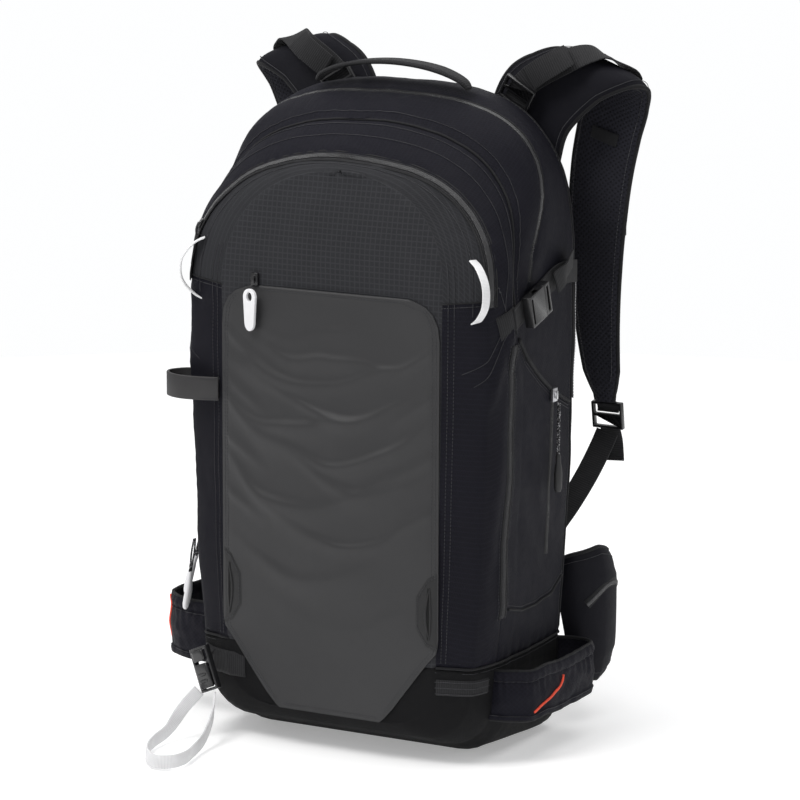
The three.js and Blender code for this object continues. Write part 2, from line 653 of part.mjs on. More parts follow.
const HIP_BUCKLE = { width: 44, length: 34, thick: 11, reach: 24, y: 208, z: 95 };
function hipWebbing(side) {
  const end = side < 0 ? 50 : 29;
  const plan = [[90.5, 197.3], [76, 202.4], [62, 205.8], [end, HIP_BUCKLE.y]];
  return band(plan.map(([x, y]) => [x * side, y, HIP_BUCKLE.z, 36, 2.4, 0, 0, 1]), 8);
}

// ---------------------------------------------------------------- zip sliders and pulls
function sliderBlock(length, width, thick) {
  const block = solid(box(-length / 2, length / 2, -width / 2, width / 2, 0, thick));
  const nose = solid(box(-length * 0.3, length * 0.3, -1.2, 1.2, thick - 0.2, thick + 2.2));
  const eye = solid(box(-length * 0.14, length * 0.14, -5, 5, thick, thick + 1.2));
  return block.add(nose).subtract(eye);
}

function paddlePull() {
  const outline = new THREE.Shape();
  outline.absellipse(0, 0, 7, 7, 0, Math.PI, false);
  outline.lineTo(-5.5, -22);
  outline.absellipse(0, -22, 5.5, 8, Math.PI, Math.PI * 2, false);
  const hole = new THREE.Path();
  hole.absellipse(0, 0, 3.2, 4, 0, Math.PI * 2, true);
  outline.holes.push(hole);
  return new THREE.ExtrudeGeometry(outline, { depth: 3, bevelEnabled: false, curveSegments: 8 });
}

// A pull grip hanging on a short doubled cord, made as one tied piece.
function cordGrip(cordLength, gripLength) {
  const cord = solid(latheZ([[0, -cordLength - 2], [1.2, -cordLength - 2], [1.2, 0], [0, 0]], 0, 0, 8));
  const top = -cordLength;
  const profile = [
    [0, top - gripLength], [3, top - gripLength], [4.6, top - gripLength + 4], [4.4, top - gripLength * 0.5],
    [3, top - 3], [2, top], [0, top],
  ];
  const grip = latheZ(profile, 0, 0, 12).scale(0.62, 1, 1);
  return cord.add(solid(grip));
}

// ---------------------------------------------------------------- assembly
const pack = new THREE.Group();
function add(name, shape, finish, position = [0, 0, 0], rotation = [0, 0, 0]) {
  const geometry = shape instanceof THREE.BufferGeometry ? shape : geometryOf(shape);
  const mesh = new THREE.Mesh(geometry, LOOKS[finish]());
  mesh.name = name;
  mesh.position.set(...position);
  mesh.rotation.set(...rotation);
  pack.add(mesh);
}

add('main_shell', mainShell(), 'navy');
add('base_panel', basePanel(), 'navy');
add('tool_pocket', toolPocket(), 'front');
add('front_panel', frontPanel(), 'coated');
add('tool_zipper', toolZipper(), 'zip');
add('main_zipper', mainZipper(), 'zip');
add('back_zipper', backZipper(), 'zip');
add('grab_handle', grabHandle(), 'webbing');
add('ski_loop_upper', skiLoopUpper(), 'rubber');
add('ski_loop_lower', skiLoopLower(), 'white');
const SKI_BUCKLE_ALONG = vec(-0.42, 0.1, 1);
const skiBuckle = placed(ladderLock(22, 40, 6), vec(-114, -99.5, 42), SKI_BUCKLE_ALONG, vec(-0.25, -1, 0));
add('ski_loop_buckle', skiBuckle, 'plastic');
add('lumbar_pad', lumbarPad(), 'mesh');
add('back_panel', solid(backPanel()).subtract(cableChannel()), 'mesh');
add('back_pad', backPad(), 'mesh');
add('frame_sheet', frameSheet().subtract(cableChannel()), 'sheet');
add('airbag_packed', airbagPacked(), 'airbag');
add('gas_cylinder', gasCylinder(), 'steel');
add('inflator', inflator(), 'plastic');
add('trigger_cable', triggerCable(), 'cable');
add('trigger_handle', triggerHandle(), 'airbag');

for (const [tag, side] of [['left', -1], ['right', 1]]) {
  add(`side_zipper_${tag}`, sideZipper(side), 'zip');
  add(`tool_loop_${tag}`, toolLoop(side), 'white');
  add(`ski_sleeve_${tag}`, skiSleeve(side), 'ripstop');
  add(`compression_strap_${tag}`, compressionStrap(side), 'webbing');
  const { width, length, thick, reach } = COMPRESSION_BUCKLE;
  const { origin, along, face } = compressionFrame(side);
  const socket = buckleSocket(width, length, thick);
  const plug = bucklePlug(width, length, thick, reach);
  add(`compression_socket_${tag}`, placed(socket, origin, along, face), 'plastic');
  add(`compression_plug_${tag}`, placed(plug, origin, along, face), 'plastic');
  add(`shoulder_strap_${tag}`, shoulderStrap(side), 'mesh');
  add(`load_lifter_${tag}`, loadLifter(side), 'webbing');
  add(`lifter_buckle_${tag}`, lifterBuckle(side), 'plastic');
  add(`strap_webbing_${tag}`, strapWebbing(side), 'webbing');
  const ladderAt = vec(LADDER_TOP.x * side, LADDER_TOP.y, LADDER_TOP.z);
  const ladder = ladderLock(LADDER.width, LADDER.length, LADDER.thick);
  add(`ladder_lock_${tag}`, placed(ladder, ladderAt, LADDER_ALONG, vec(0, 1, 0.16)), 'plastic');
  add(`sternum_webbing_${tag}`, sternumWebbing(side), 'webbing');
  add(`hip_wing_${tag}`, hipWing(side), 'navy');
  add(`hip_webbing_${tag}`, hipWebbing(side), 'webbing');
}

const sternumAt = vec(0, STERNUM.y, STERNUM.z);
add('sternum_socket', placed(buckleSocket(STERNUM.buckleWidth, STERNUM.buckleLength, STERNUM.buckleThick),
  sternumAt, vec(1, 0, 0), vec(0, 1, 0)), 'plastic');
add('sternum_plug', placed(bucklePlug(STERNUM.buckleWidth, STERNUM.buckleLength, STERNUM.buckleThick, 12.5),
  sternumAt, vec(1, 0, 0), vec(0, 1, 0)), 'plastic');

add('hip_socket', placed(buckleSocket(HIP_BUCKLE.width, HIP_BUCKLE.length, HIP_BUCKLE.thick),
  vec(-15, HIP_BUCKLE.y, HIP_BUCKLE.z), vec(1, 0, 0), vec(0, 1, 0)), 'plastic');
add('hip_plug', placed(bucklePlug(HIP_BUCKLE.width, HIP_BUCKLE.length, HIP_BUCKLE.thick, HIP_BUCKLE.reach),
  vec(18, HIP_BUCKLE.y, HIP_BUCKLE.z), vec(1, 0, 0), vec(0, 1, 0)), 'plastic');

const front = vec(0, -1, 0);
add('front_slider', placed(sliderBlock(11, 7, 3), vec(-74, -88.2, 412.5), vec(0, 0, 1), front), 'plastic');
add('front_pull', paddlePull(), 'white', [-74, -96, 398], [Math.PI / 2, -0.2, 0]);

const leftWall = vec(-1, 0, 0.04);
const SLIDER_LEFT = vec(-152, SIDE_ZIP.y, 166);
add('side_slider_left', placed(sliderBlock(12, 8, 3), SLIDER_LEFT, vec(0, 0, 1), leftWall), 'plastic');
add('side_pull_left_front', cordGrip(30, 36), 'white', [-160.5, SIDE_ZIP.y - 6, 164], [0, 0.16, 0]);
add('side_pull_left_rear', cordGrip(18, 38), 'white', [-160.5, SIDE_ZIP.y + 5, 164], [0, 0.3, 0]);

const rightWall = vec(1, 0, 0);
add('pocket_slider', placed(sliderBlock(12, 8, 3), vec(152.6, 34, 312), vec(0, 0, 1), rightWall), 'plastic');
const pocketCord = [vec(158.8, 34, 305), vec(158.8, 34, 290), vec(158.4, 34.2, 275), vec(158.6, 34.6, 260.4)];
add('pocket_cord', tube(pocketCord, 1.5, 10), 'cable');
const gripProfile = [[0, 226], [2.6, 226], [3.6, 231], [3.3, 246], [2.4, 258], [2.1, 260], [0, 260]];
add('pocket_grip', latheZ(gripProfile, 158.6, 34.6, 10), 'rubber');

export default pack;
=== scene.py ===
"""Looks for a 32-litre ski touring pack with an airbag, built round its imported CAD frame.

Everything is in metres in the row frame: +Z up, the front of the pack faces -Y, the wearer's right is +X.
Lengths that describe the object are written in millimetres and multiplied by MM.
"""

import math

import bmesh
import bpy
import numpy as np
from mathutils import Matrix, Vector, noise


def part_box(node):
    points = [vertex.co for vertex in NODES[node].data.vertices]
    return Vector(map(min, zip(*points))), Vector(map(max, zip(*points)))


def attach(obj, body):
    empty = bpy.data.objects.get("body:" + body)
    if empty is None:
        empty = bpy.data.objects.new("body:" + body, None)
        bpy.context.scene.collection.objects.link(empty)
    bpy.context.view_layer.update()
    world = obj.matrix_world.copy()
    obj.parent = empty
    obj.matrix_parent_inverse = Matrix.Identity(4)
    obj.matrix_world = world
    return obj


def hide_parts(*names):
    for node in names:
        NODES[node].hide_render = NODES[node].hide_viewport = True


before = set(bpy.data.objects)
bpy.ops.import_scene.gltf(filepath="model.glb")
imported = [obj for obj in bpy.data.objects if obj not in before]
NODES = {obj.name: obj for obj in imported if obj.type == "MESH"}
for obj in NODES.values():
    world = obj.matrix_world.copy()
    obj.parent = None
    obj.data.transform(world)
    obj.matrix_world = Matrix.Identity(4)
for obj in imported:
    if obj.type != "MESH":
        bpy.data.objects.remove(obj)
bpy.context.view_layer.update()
MM = 0.001


# ------------------------------------------------------------------ camera
def make_camera():
    azimuth, elevation, distance = math.radians(30.0), math.radians(11.5), 3.5086
    back = Vector((
        math.sin(azimuth) * math.cos(elevation),
        -math.cos(azimuth) * math.cos(elevation),
        math.sin(elevation),
    ))
    data = bpy.data.cameras.new("camera")
    data.lens = 183.15
    data.sensor_width = 36.0
    data.shift_x = 0.0873
    data.shift_y = 0.0466
    data.clip_start, data.clip_end = 0.1, 50.0
    camera = bpy.data.objects.new("camera", data)
    camera.location = Vector((0, -0.0875, 0.28)) + back * distance
    camera.rotation_mode = "QUATERNION"
    camera.rotation_quaternion = (-back).to_track_quat("-Z", "Y")
    bpy.context.collection.objects.link(camera)
    bpy.context.scene.camera = camera


make_camera()


# ------------------------------------------------------------------ node materials
class Look:
    """A principled material, with short calls for its nodes."""

    def __init__(self, name, **sockets):
        self.material = bpy.data.materials.new(name)
        self.material.use_nodes = True
        self.tree = self.material.node_tree
        self.tree.nodes.clear()
        self.shader = self.tree.nodes.new("ShaderNodeBsdfPrincipled")
        output = self.tree.nodes.new("ShaderNodeOutputMaterial")
        self.tree.links.new(self.shader.outputs[0], output.inputs[0])
        for key, value in sockets.items():
            self.shader.inputs[key.replace("_", " ")].default_value = value

    def add(self, kind, **settings):
        node = self.tree.nodes.new(kind)
        for key, value in settings.items():
            setattr(node, key, value)
        return node

    def link(self, source, target):
        self.tree.links.new(source, target)

    def feed(self, value, target):
        if isinstance(value, (int, float)):
            target.default_value = value
        else:
            self.link(value, target)

    def math(self, operation, a, b=0.0, c=0.0):
        node = self.add("ShaderNodeMath", operation=operation)
        for value, socket in zip((a, b, c), node.inputs):
            self.feed(value, socket)
        return node.outputs[0]

    def split(self):
        """The cloth's two coordinates, in metres."""
        source = self.add("ShaderNodeUVMap", uv_map="cloth").outputs[0]
        parts = self.add("ShaderNodeSeparateXYZ")
        self.link(source, parts.inputs[0])
        return parts.outputs[0], parts.outputs[1]

    def wave(self, value, pitch, phase=0.0):
        """0 to 1 to 0 once per pitch."""
        turned = self.math("MULTIPLY_ADD", value, 2 * math.pi / pitch, phase)
        return self.math("MULTIPLY_ADD", self.math("COSINE", turned), 0.5, 0.5)

    def line(self, value, pitch, share):
        """1 on a thin line once per pitch, 0 between."""
        return self.math("SMOOTH_MIN", 1.0, self.math("POWER", self.wave(value, pitch), share), 0.02)

    def noise(self, scale, detail=3.0, stretch=None):
        node = self.add("ShaderNodeTexNoise")
        node.inputs["Scale"].default_value = scale
        node.inputs["Detail"].default_value = detail
        node.inputs["Roughness"].default_value = 0.55
        vector = self.add("ShaderNodeTexCoord").outputs["Object"]
        if stretch:
            mapping = self.add("ShaderNodeMapping")
            mapping.inputs["Scale"].default_value = stretch
            self.link(vector, mapping.inputs["Vector"])
            vector = mapping.outputs[0]
        self.link(vector, node.inputs["Vector"])
        return node.outputs["Fac"]

    def ramp(self, value, stops):
        node = self.add("ShaderNodeValToRGB")
        while len(node.color_ramp.elements) < len(stops):
            node.color_ramp.elements.new(0.5)
        for element, (position, color) in zip(node.color_ramp.elements, stops):
            element.position = position
            element.color = (*color, 1.0)
        self.link(value, node.inputs[0])
        return node.outputs[0]

    def shade(self, fac, color, other):
        node = self.add("ShaderNodeMix", data_type="RGBA")
        self.feed(fac, node.inputs[0])
        for value, socket in ((color, node.inputs[6]), (other, node.inputs[7])):
            if isinstance(value, tuple):
                socket.default_value = (*value, 1.0)
            else:
                self.link(value, socket)
        return node.outputs[2]

    def range(self, value, low, high):
        node = self.add("ShaderNodeMapRange")
        self.link(value, node.inputs[0])
        node.inputs[3].default_value = low
        node.inputs[4].default_value = high
        return node.outputs[0]

    def color(self, socket):
        self.link(socket, self.shader.inputs["Base Color"])

    def roughness(self, socket):
        self.link(socket, self.shader.inputs["Roughness"])

    def bump(self, heights):
        """heights is a list of (socket, distance in metres)."""
        normal = None
        for height, distance in heights:
            node = self.add("ShaderNodeBump")
            node.inputs["Strength"].default_value = 1.0
            node.inputs["Distance"].default_value = distance
            self.link(height, node.inputs["Height"])
            if normal is not None:
                self.link(normal, node.inputs["Normal"])
            normal = node.outputs[0]
        self.link(normal, self.shader.inputs["Normal"])


def tint(color, gain):
    return tuple(min(1.0, c * gain) for c in color)


def ripstop(name, color, grid=4.6 * MM, strength=1.0, roughness=0.62, diagonal=False):
    """Plain-woven nylon with a raised square grid of doubled threads."""
    look = Look(name, Specular_IOR_Level=0.13)
    u, v = look.split()
    if diagonal:
        u, v = look.math("ADD", u, v), look.math("SUBTRACT", u, v)
    lines = look.math("MAXIMUM", look.line(u, grid, 9.0), look.line(v, grid, 9.0))
    weave = look.math("MULTIPLY", look.wave(u, 0.62 * MM), look.wave(v, 0.62 * MM))
    cloud = look.noise(9.0, 4.0)
    fine = look.noise(160.0, 2.0)
    base = look.ramp(cloud, [(0.3, tint(color, 0.82)), (0.7, tint(color, 1.16))])
    base = look.shade(look.math("MULTIPLY", lines, 0.55 * strength), base, tint(color, 2.6))
    base = look.shade(look.math("MULTIPLY", weave, 0.3), base, tint(color, 0.4))
    look.color(base)
    look.roughness(look.range(fine, roughness - 0.07, roughness + 0.09))
    look.bump([(weave, 0.10 * MM), (lines, 0.12 * strength * MM), (look.noise(42.0, 3.0), 0.35 * MM)])
    return look.material


def coated(name, color):
    """Smooth coated fabric: a tight sub-millimetre weave under a soft satin film."""
    look = Look(name, Specular_IOR_Level=0.38, Coat_Weight=0.04, Coat_Roughness=0.5)
    u, v = look.split()
    twill = look.wave(look.math("ADD", u, look.math("MULTIPLY", v, 0.9)), 0.8 * MM)
    cloud = look.noise(7.0, 4.0)
    base = look.ramp(cloud, [(0.28, tint(color, 0.9)), (0.72, tint(color, 1.1))])
    base = look.shade(look.math("MULTIPLY", twill, 0.16), base, tint(color, 0.6))
    look.color(base)
    look.roughness(look.range(look.noise(120.0, 2.0), 0.44, 0.56))
    look.bump([(twill, 0.05 * MM), (look.noise(55.0, 3.0), 0.25 * MM)])
    return look.material


def webbing(name, color, rib=1.5 * MM, roughness=0.7, sheen=0.05):
    """Woven webbing: ribs across its width and threads along them."""
    look = Look(name, Specular_IOR_Level=0.2, Sheen_Weight=sheen, Sheen_Roughness=0.45)
    u, v = look.split()
    ribs = look.wave(v, rib)
    threads = look.wave(u, 0.9 * MM)
    crossing = look.math("MULTIPLY", ribs, look.math("MULTIPLY_ADD", threads, 0.4, 0.6))
    base = look.ramp(look.noise(30.0, 3.0), [(0.3, tint(color, 0.85)), (0.7, tint(color, 1.12))])
    base = look.shade(look.math("MULTIPLY", crossing, 0.7), base, tint(color, 2.6))
    look.color(base)
    look.roughness(look.range(look.noise(200.0, 2.0), roughness - 0.06, roughness + 0.08))
    look.bump([(crossing, 0.22 * MM)])
    return look.material


def spacer_mesh(name, color, pitch=2.3 * MM):
    """Knitted spacer mesh with a staggered field of small oval holes, with painted shade in the holes."""
    look = Look(name, Specular_IOR_Level=0.2, Sheen_Weight=0.04, Sheen_Roughness=0.4)
    u, v = look.split()
    diagonal = look.wave(look.math("ADD", u, v), pitch)
    other = look.wave(look.math("SUBTRACT", u, v), pitch)
    hole = look.math("MULTIPLY", diagonal, other)
    # painted shade: the holes are darkened in the colour, for the shade inside them
    painted_hole_shade = look.math("POWER", hole, 1.6)
    base = look.ramp(look.noise(12.0, 3.0), [(0.3, tint(color, 0.85)), (0.7, tint(color, 1.2))])
    base = look.shade(painted_hole_shade, base, tint(color, 0.25))
    look.color(base)
    look.roughness(look.range(look.noise(300.0, 2.0), 0.8, 0.95))
    look.bump([(look.math("SUBTRACT", 1.0, hole), 0.5 * MM)])
    return look.material


def molded(name, color, roughness=0.42, speckle=0.08, coat=0.0):
    """Injection-moulded plastic: spark-eroded grain and a faint random cloud of lighter and darker tone."""
    look = Look(name, Specular_IOR_Level=0.5, Coat_Weight=coat, Coat_Roughness=0.3)
    grain = look.noise(1400.0, 2.0)
    cloud = look.noise(60.0, 3.0)
    look.color(look.ramp(cloud, [(0.3, tint(color, 1 - speckle)), (0.7, tint(color, 1 + speckle * 2))]))
    look.roughness(look.range(cloud, roughness - 0.08, roughness + 0.08))
    look.bump([(grain, 0.05 * MM)])
    return look.material


def metal(name, color, roughness=0.35):
    look = Look(name, Metallic=1.0)
    streaks = look.noise(300.0, 3.0, stretch=(1.0, 1.0, 0.05))
    look.color(look.ramp(streaks, [(0.3, tint(color, 0.8)), (0.7, tint(color, 1.1))]))
    look.roughness(look.range(streaks, roughness - 0.08, roughness + 0.1))
    look.bump([(streaks, 0.02 * MM)])
    return look.material


def thread_look(name, color):
    look = Look(name, Roughness=0.75, Sheen_Weight=0.05)
    look.color(look.ramp(look.noise(500.0, 2.0), [(0.3, tint(color, 0.8)), (0.7, tint(color, 1.25))]))
    look.bump([(look.noise(2500.0, 1.0), 0.05 * MM)])
    return look.material


def speckled_cord(name):
    """Kernmantle cord: a dark braid with pale flecks."""
    look = Look(name, Specular_IOR_Level=0.35)
    u, v = look.split()
    turn = look.math("MULTIPLY", look.wave(look.math("ADD", u, v), 1.1 * MM),
                     look.wave(look.math("SUBTRACT", u, v), 1.1 * MM))
    fleck = look.math("GREATER_THAN", look.noise(900.0, 1.0), 0.60)
    look.color(look.shade(fleck, (0.015, 0.015, 0.017), (0.55, 0.55, 0.57)))
    look.roughness(look.range(turn, 0.6, 0.8))
    look.bump([(turn, 0.2 * MM)])
    return look.material


SIDE = (0.0056, 0.0054, 0.0094)
FRONT = (0.024, 0.0245, 0.0275)
PANEL = (0.026, 0.026, 0.0275)
MAT = {
    "side": ripstop("side_ripstop", SIDE, grid=4.4 * MM, strength=0.8, diagonal=True),
    "front": ripstop("front_ripstop", FRONT, grid=4.8 * MM, strength=0.6),
    "base": ripstop("base_packcloth", (0.005, 0.005, 0.0056), grid=1.6 * MM, strength=0.25, roughness=0.7),
    "panel": coated("coated_front", PANEL),
    "patch": coated("coated_patch", (0.011, 0.011, 0.012)),
    "web": webbing("black_webbing", (0.012, 0.012, 0.013), rib=2.0 * MM),
    "binding": webbing("binding_tape", (0.008, 0.008, 0.009), rib=0.9 * MM),
    "white_web": webbing("white_webbing", (0.74, 0.74, 0.755), rib=1.2 * MM, roughness=0.6, sheen=0.05),
    "mesh": spacer_mesh("spacer_mesh", (0.016, 0.016, 0.022), pitch=5.0 * MM),
    "foam": spacer_mesh("back_mesh", (0.011, 0.011, 0.013), pitch=3.2 * MM),
    "strap": ripstop("strap_fabric", (0.008, 0.0079, 0.0115), grid=1.4 * MM, strength=0.2, roughness=0.66),
    "tape": webbing("zip_tape", (0.014, 0.014, 0.015), rib=0.7 * MM, roughness=0.75),
    "teeth": molded("zip_coil", (0.022, 0.022, 0.024), roughness=0.26, coat=0.2),
    "silver": metal("silver_teeth", (0.6, 0.6, 0.62), 0.3),
    "plastic": molded("black_acetal", (0.009, 0.009, 0.010), roughness=0.24, coat=0.25),
    "white": molded("white_grip", (0.80, 0.80, 0.815), roughness=0.45, speckle=0.02),
    "rubber": molded("black_rubber", (0.014, 0.014, 0.015), roughness=0.6),
    "hypalon": molded("hypalon", (0.022, 0.021, 0.022), roughness=0.55, speckle=0.12),
    "red": molded("red_handle", (0.62, 0.055, 0.03), roughness=0.32, coat=0.2),
    "orange": thread_look("orange_piping", (0.80, 0.075, 0.03)),
    "thread": thread_look("black_thread", (0.034, 0.034, 0.039)),
    "airbag": ripstop("airbag_fabric", (0.62, 0.09, 0.04), grid=5.0 * MM, strength=0.3, roughness=0.55),
    "steel": metal("cylinder_steel", (0.55, 0.56, 0.58), 0.32),
    "sheet": molded("frame_sheet", (0.50, 0.51, 0.53), roughness=0.5),
    "cable": molded("cable_sheath", (0.02, 0.02, 0.022), roughness=0.45),
    # painted shade: near-black for the sheet in the gaps of the hand slits
    "void": molded("slit_shadow", (0.0015, 0.0015, 0.0018), roughness=0.9),
    "cord": speckled_cord("speckled_cord"),
}


# ------------------------------------------------------------------ mesh helpers
def make(name, verts, faces, body, material, uv=None, replaces=(), slot=None, ids=None):
    """A mesh object that rides on a body. uv is one (u, v) in metres per vertex."""
    mesh = bpy.data.meshes.new(name)
    mesh.from_pydata([tuple(v) for v in verts], [], [tuple(f) for f in faces])
    for each in material if isinstance(material, (list, tuple)) else [material]:
        mesh.materials.append(MAT[each])
    layer = mesh.uv_layers.new(name="cloth")
    if uv is not None:
        corner = np.zeros(len(mesh.loops), int)
        mesh.loops.foreach_get("vertex_index", corner)
        layer.data.foreach_set("uv", np.asarray(uv, float)[corner].astype(np.float32).ravel())
    if ids is not None:
        mesh.polygons.foreach_set("material_index", list(ids))
    mesh.shade_smooth()
    mesh.update()
    piece = bpy.data.objects.new(name, mesh)
    bpy.context.collection.objects.link(piece)
    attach(piece, body)
    if replaces:
        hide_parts(*replaces)
    return piece


def apply_modifiers(piece):
    """Turns the piece's modifiers into plain mesh."""
    bpy.context.view_layer.update()
    graph = bpy.context.evaluated_depsgraph_get()
    mesh = bpy.data.meshes.new_from_object(piece.evaluated_get(graph))
    piece.modifiers.clear()
    piece.data = mesh


def solidify(piece, thickness):
    """Thickens cloth inwards from its outer face."""
    modifier = piece.modifiers.new("thickness", "SOLIDIFY")
    modifier.thickness = thickness
    modifier.offset = -1.0
    apply_modifiers(piece)


def recalc(piece):
    work = bmesh.new()
    work.from_mesh(piece.data)
    bmesh.ops.recalc_face_normals(work, faces=work.faces)
    work.to_mesh(piece.data)
    work.free()
    return piece


def grid_faces(rows, columns, wrap=False):
    faces = []
    for i in range(rows - 1):
        for j in range(columns if wrap else columns - 1):
            k = (j + 1) % columns
            faces.append((i * columns + j, i * columns + k, (i + 1) * columns + k, (i + 1) * columns + j))
    return faces


class Bag:
    """Collects many small parts into one mesh."""

    def __init__(self):
        self.verts, self.faces, self.uv = [], [], []

    def put(self, verts, faces, uv=None):
        start = len(self.verts)
        self.verts.extend(tuple(v) for v in verts)
        self.faces.extend(tuple(start + i for i in f) for f in faces)
        self.uv.extend(uv if uv is not None else [(v[0], v[2]) for v in verts])

    def piece(self, name, body, material, **more):
        return make(name, self.verts, self.faces, body, material, uv=self.uv, **more)


def catmull(points, count):
    """Centripetal curve through the points in `count` steps, even in the parameter, and the parameters."""
    p = np.asarray(points, float)
    spans = len(p) - 1

    def get(i):
        return 2 * p[0] - p[1] if i < 0 else 2 * p[-1] - p[-2] if i > spans else p[i]

    ts = np.linspace(0, spans, count + 1)
    out = []
    for t in ts:
        i = min(int(t), spans - 1)
        w = t - i
        p0, p1, p2, p3 = get(i - 1), get(i), get(i + 1), get(i + 2)
        d0, d1, d2 = (max(np.linalg.norm(b - a) ** 0.5, 1e-4) for a, b in ((p0, p1), (p1, p2), (p2, p3)))
        t1 = ((p1 - p0) / d0 - (p2 - p0) / (d0 + d1) + (p2 - p1) / d1) * d1
        t2 = ((p2 - p1) / d1 - (p3 - p1) / (d1 + d2) + (p3 - p2) / d2) * d1
        a, b = 2 * p1 - 2 * p2 + t1 + t2, -3 * p1 + 3 * p2 - 2 * t1 - t2
        out.append(((a * w + b) * w + t1) * w + p1)
    return np.array(out), ts


def unit(v):
    return v / np.maximum(np.linalg.norm(v, axis=-1, keepdims=True), 1e-12)


def tangents(path, closed=False):
    if closed:
        return unit(np.roll(path, -1, 0) - np.roll(path, 1, 0))
    return unit(np.gradient(path, axis=0))


def lengths(path):
    return np.concatenate([[0], np.cumsum(np.linalg.norm(np.diff(path, axis=0), axis=1))])


def resample(path, step, closed=False):
    """Points every `step` metres along a path."""
    p = np.vstack([path, path[:1]]) if closed else np.asarray(path, float)
    s = lengths(p)
    count = max(2, int(round(s[-1] / step)) + 1)
    at = np.linspace(0, s[-1], count)
    if closed:
        at = at[:-1]
    return np.stack([np.interp(at, s, p[:, k]) for k in range(p.shape[1])], 1)


def frames_of(rows, steps, ruled=False):
    """The CAD's band rows [x, y, z, width, thick, ax, ay, az] in mm as dense frames in metres."""
    r = np.asarray(rows, float)
    path, ts = catmull(r[:, :3], steps)
    spans = len(r) - 1
    i = np.minimum(ts.astype(int), spans - 1)
    f = (ts - i)[:, None]
    row = r[i] * (1 - f) + r[i + 1] * f
    tangent = tangents(path)
    across = row[:, 5:8]
    if not ruled:
        across = across - (across * tangent).sum(1)[:, None] * tangent
    across = unit(across)
    outward = unit(np.cross(tangent, across))
    return {"path": path * MM, "tangent": tangent, "across": across, "outward": outward,
            "width": row[:, 3] * MM, "thick": row[:, 4] * MM, "t": ts / spans}


def tube_faces(rows, count, closed=False):
    """Faces between rings of `count` points, either joined end to end or capped."""
    faces = grid_faces(rows, count, wrap=True)
    last = (rows - 1) * count
    if closed:
        return faces + [(last + k, last + (k + 1) % count, (k + 1) % count, k) for k in range(count)]
    return faces + [tuple(range(count))[::-1], tuple(range(last, last + count))]


def sweep(frames, profile):
    """Carries a closed profile along the frames. profile(width, thick, index) gives [(u, v)] in metres."""
    verts, uv = [], []
    along = lengths(frames["path"])
    rows = len(frames["path"])
    for i in range(rows):
        ring = profile(frames["width"][i], frames["thick"][i], i)
        for u, v in ring:
            verts.append(frames["path"][i] + frames["across"][i] * u + frames["outward"][i] * v)
            uv.append((u, along[i]))
    return verts, tube_faces(rows, len(verts) // rows), uv


def flat_profile(rounding):
    """A webbing section: flat, with rounded selvedges of four points each."""
    def ring(width, thick, _):
        w, h = width / 2, thick / 2
        r = h * rounding * 2
        out = []
        for cx, cy, start in ((w - r, h - r, 0), (r - w, h - r, 90), (r - w, r - h, 180),
                              (w - r, r - h, 270)):
            for k in range(4):
                a = math.radians(start + 90 * k / 3)
                out.append((cx + r * math.cos(a), cy + r * math.sin(a)))
        return out
    return ring


def web_piece(name, rows, steps, body, material, rounding=0.45, **more):
    """Webbing along CAD band rows. Returns its frames."""
    frames = frames_of(rows, steps)
    verts, faces, uv = sweep(frames, flat_profile(rounding))
    recalc(make(name, verts, faces, body, material, uv=uv, **more))
    return frames


def tube_into(bag, path, radius, sides=8, closed=False):
    """A round tube along a path, with u round it and v along it in metres."""
    path = np.asarray(path, float)
    tangent = tangents(path, closed)
    normal = np.cross(tangent[0], (0.0, 0.0, 1.0))
    if np.linalg.norm(normal) < 0.1:
        normal = np.cross(tangent[0], (0.0, 1.0, 0.0))
    normal = unit(normal)
    radii = np.broadcast_to(radius, (len(path),))
    along = lengths(path)
    verts, uv = [], []
    for i, p in enumerate(path):
        normal = unit(normal - normal.dot(tangent[i]) * tangent[i])
        other = np.cross(tangent[i], normal)
        for k in range(sides):
            a = 2 * math.pi * k / sides
            verts.append(p + radii[i] * (math.cos(a) * normal + math.sin(a) * other))
            uv.append((radii[i] * a, along[i]))
    bag.put(verts, tube_faces(len(path), sides, closed), uv)


THREAD = 0.28 * MM  # radius of the sewing thread
CAPSULE_ENDS = [(4, 3, 2, 1, 0), (15, 16, 17, 18, 19)]  # caps of four rings of five points


def stitches_into(bag, path, normals, pitch=3.2 * MM, length=2.2 * MM, lift=0.0, closed=False):
    """A row of sewn stitches: short thread capsules that dip in at both ends."""
    dense = resample(np.hstack([path, normals]), pitch, closed)
    points, ups = dense[:, :3], unit(dense[:, 3:6])
    along = tangents(points, closed)
    for p, up, t in zip(points, ups, along):
        side = unit(np.cross(t, up))
        verts = []
        for s, dip, r in ((-0.5, 0.3, 0.35), (-0.28, 0.0, 1.0), (0.28, 0.0, 1.0), (0.5, 0.3, 0.35)):
            centre = p + t * s * length + up * (lift - dip * THREAD)
            for k in range(5):
                a = 2 * math.pi * k / 5
                verts.append(centre + THREAD * r * (math.cos(a) * side + math.sin(a) * up))
        bag.put(verts, grid_faces(4, 5, wrap=True) + CAPSULE_ENDS)


def coil_into(bag, path, normals, width, pitch=1.3 * MM, height=0.8 * MM, lift=0.0):
    """Zip teeth: two interlocked rows of short rounded bars across the path."""
    dense = resample(np.hstack([path, normals]), pitch)
    points, ups = dense[:, :3], unit(dense[:, 3:6])
    along = tangents(points)
    section = ((-0.34, 0.0), (-0.26, 0.75), (0.0, 1.0), (0.26, 0.75), (0.34, 0.0))
    for i, (p, up, t) in enumerate(zip(points, ups, along)):
        side = unit(np.cross(t, up)) * (1 if i % 2 else -1)
        reach = width / 2
        base = p + up * lift
        verts = []
        for out, scale in ((-0.18, 0.75), (0.05, 1.0), (0.8, 1.0), (1.0, 0.6)):
            for s, h in section:
                verts.append(base + side * reach * out + t * s * pitch * scale + up * height * h * scale)
        bag.put(verts, grid_faces(4, 5) + CAPSULE_ENDS)


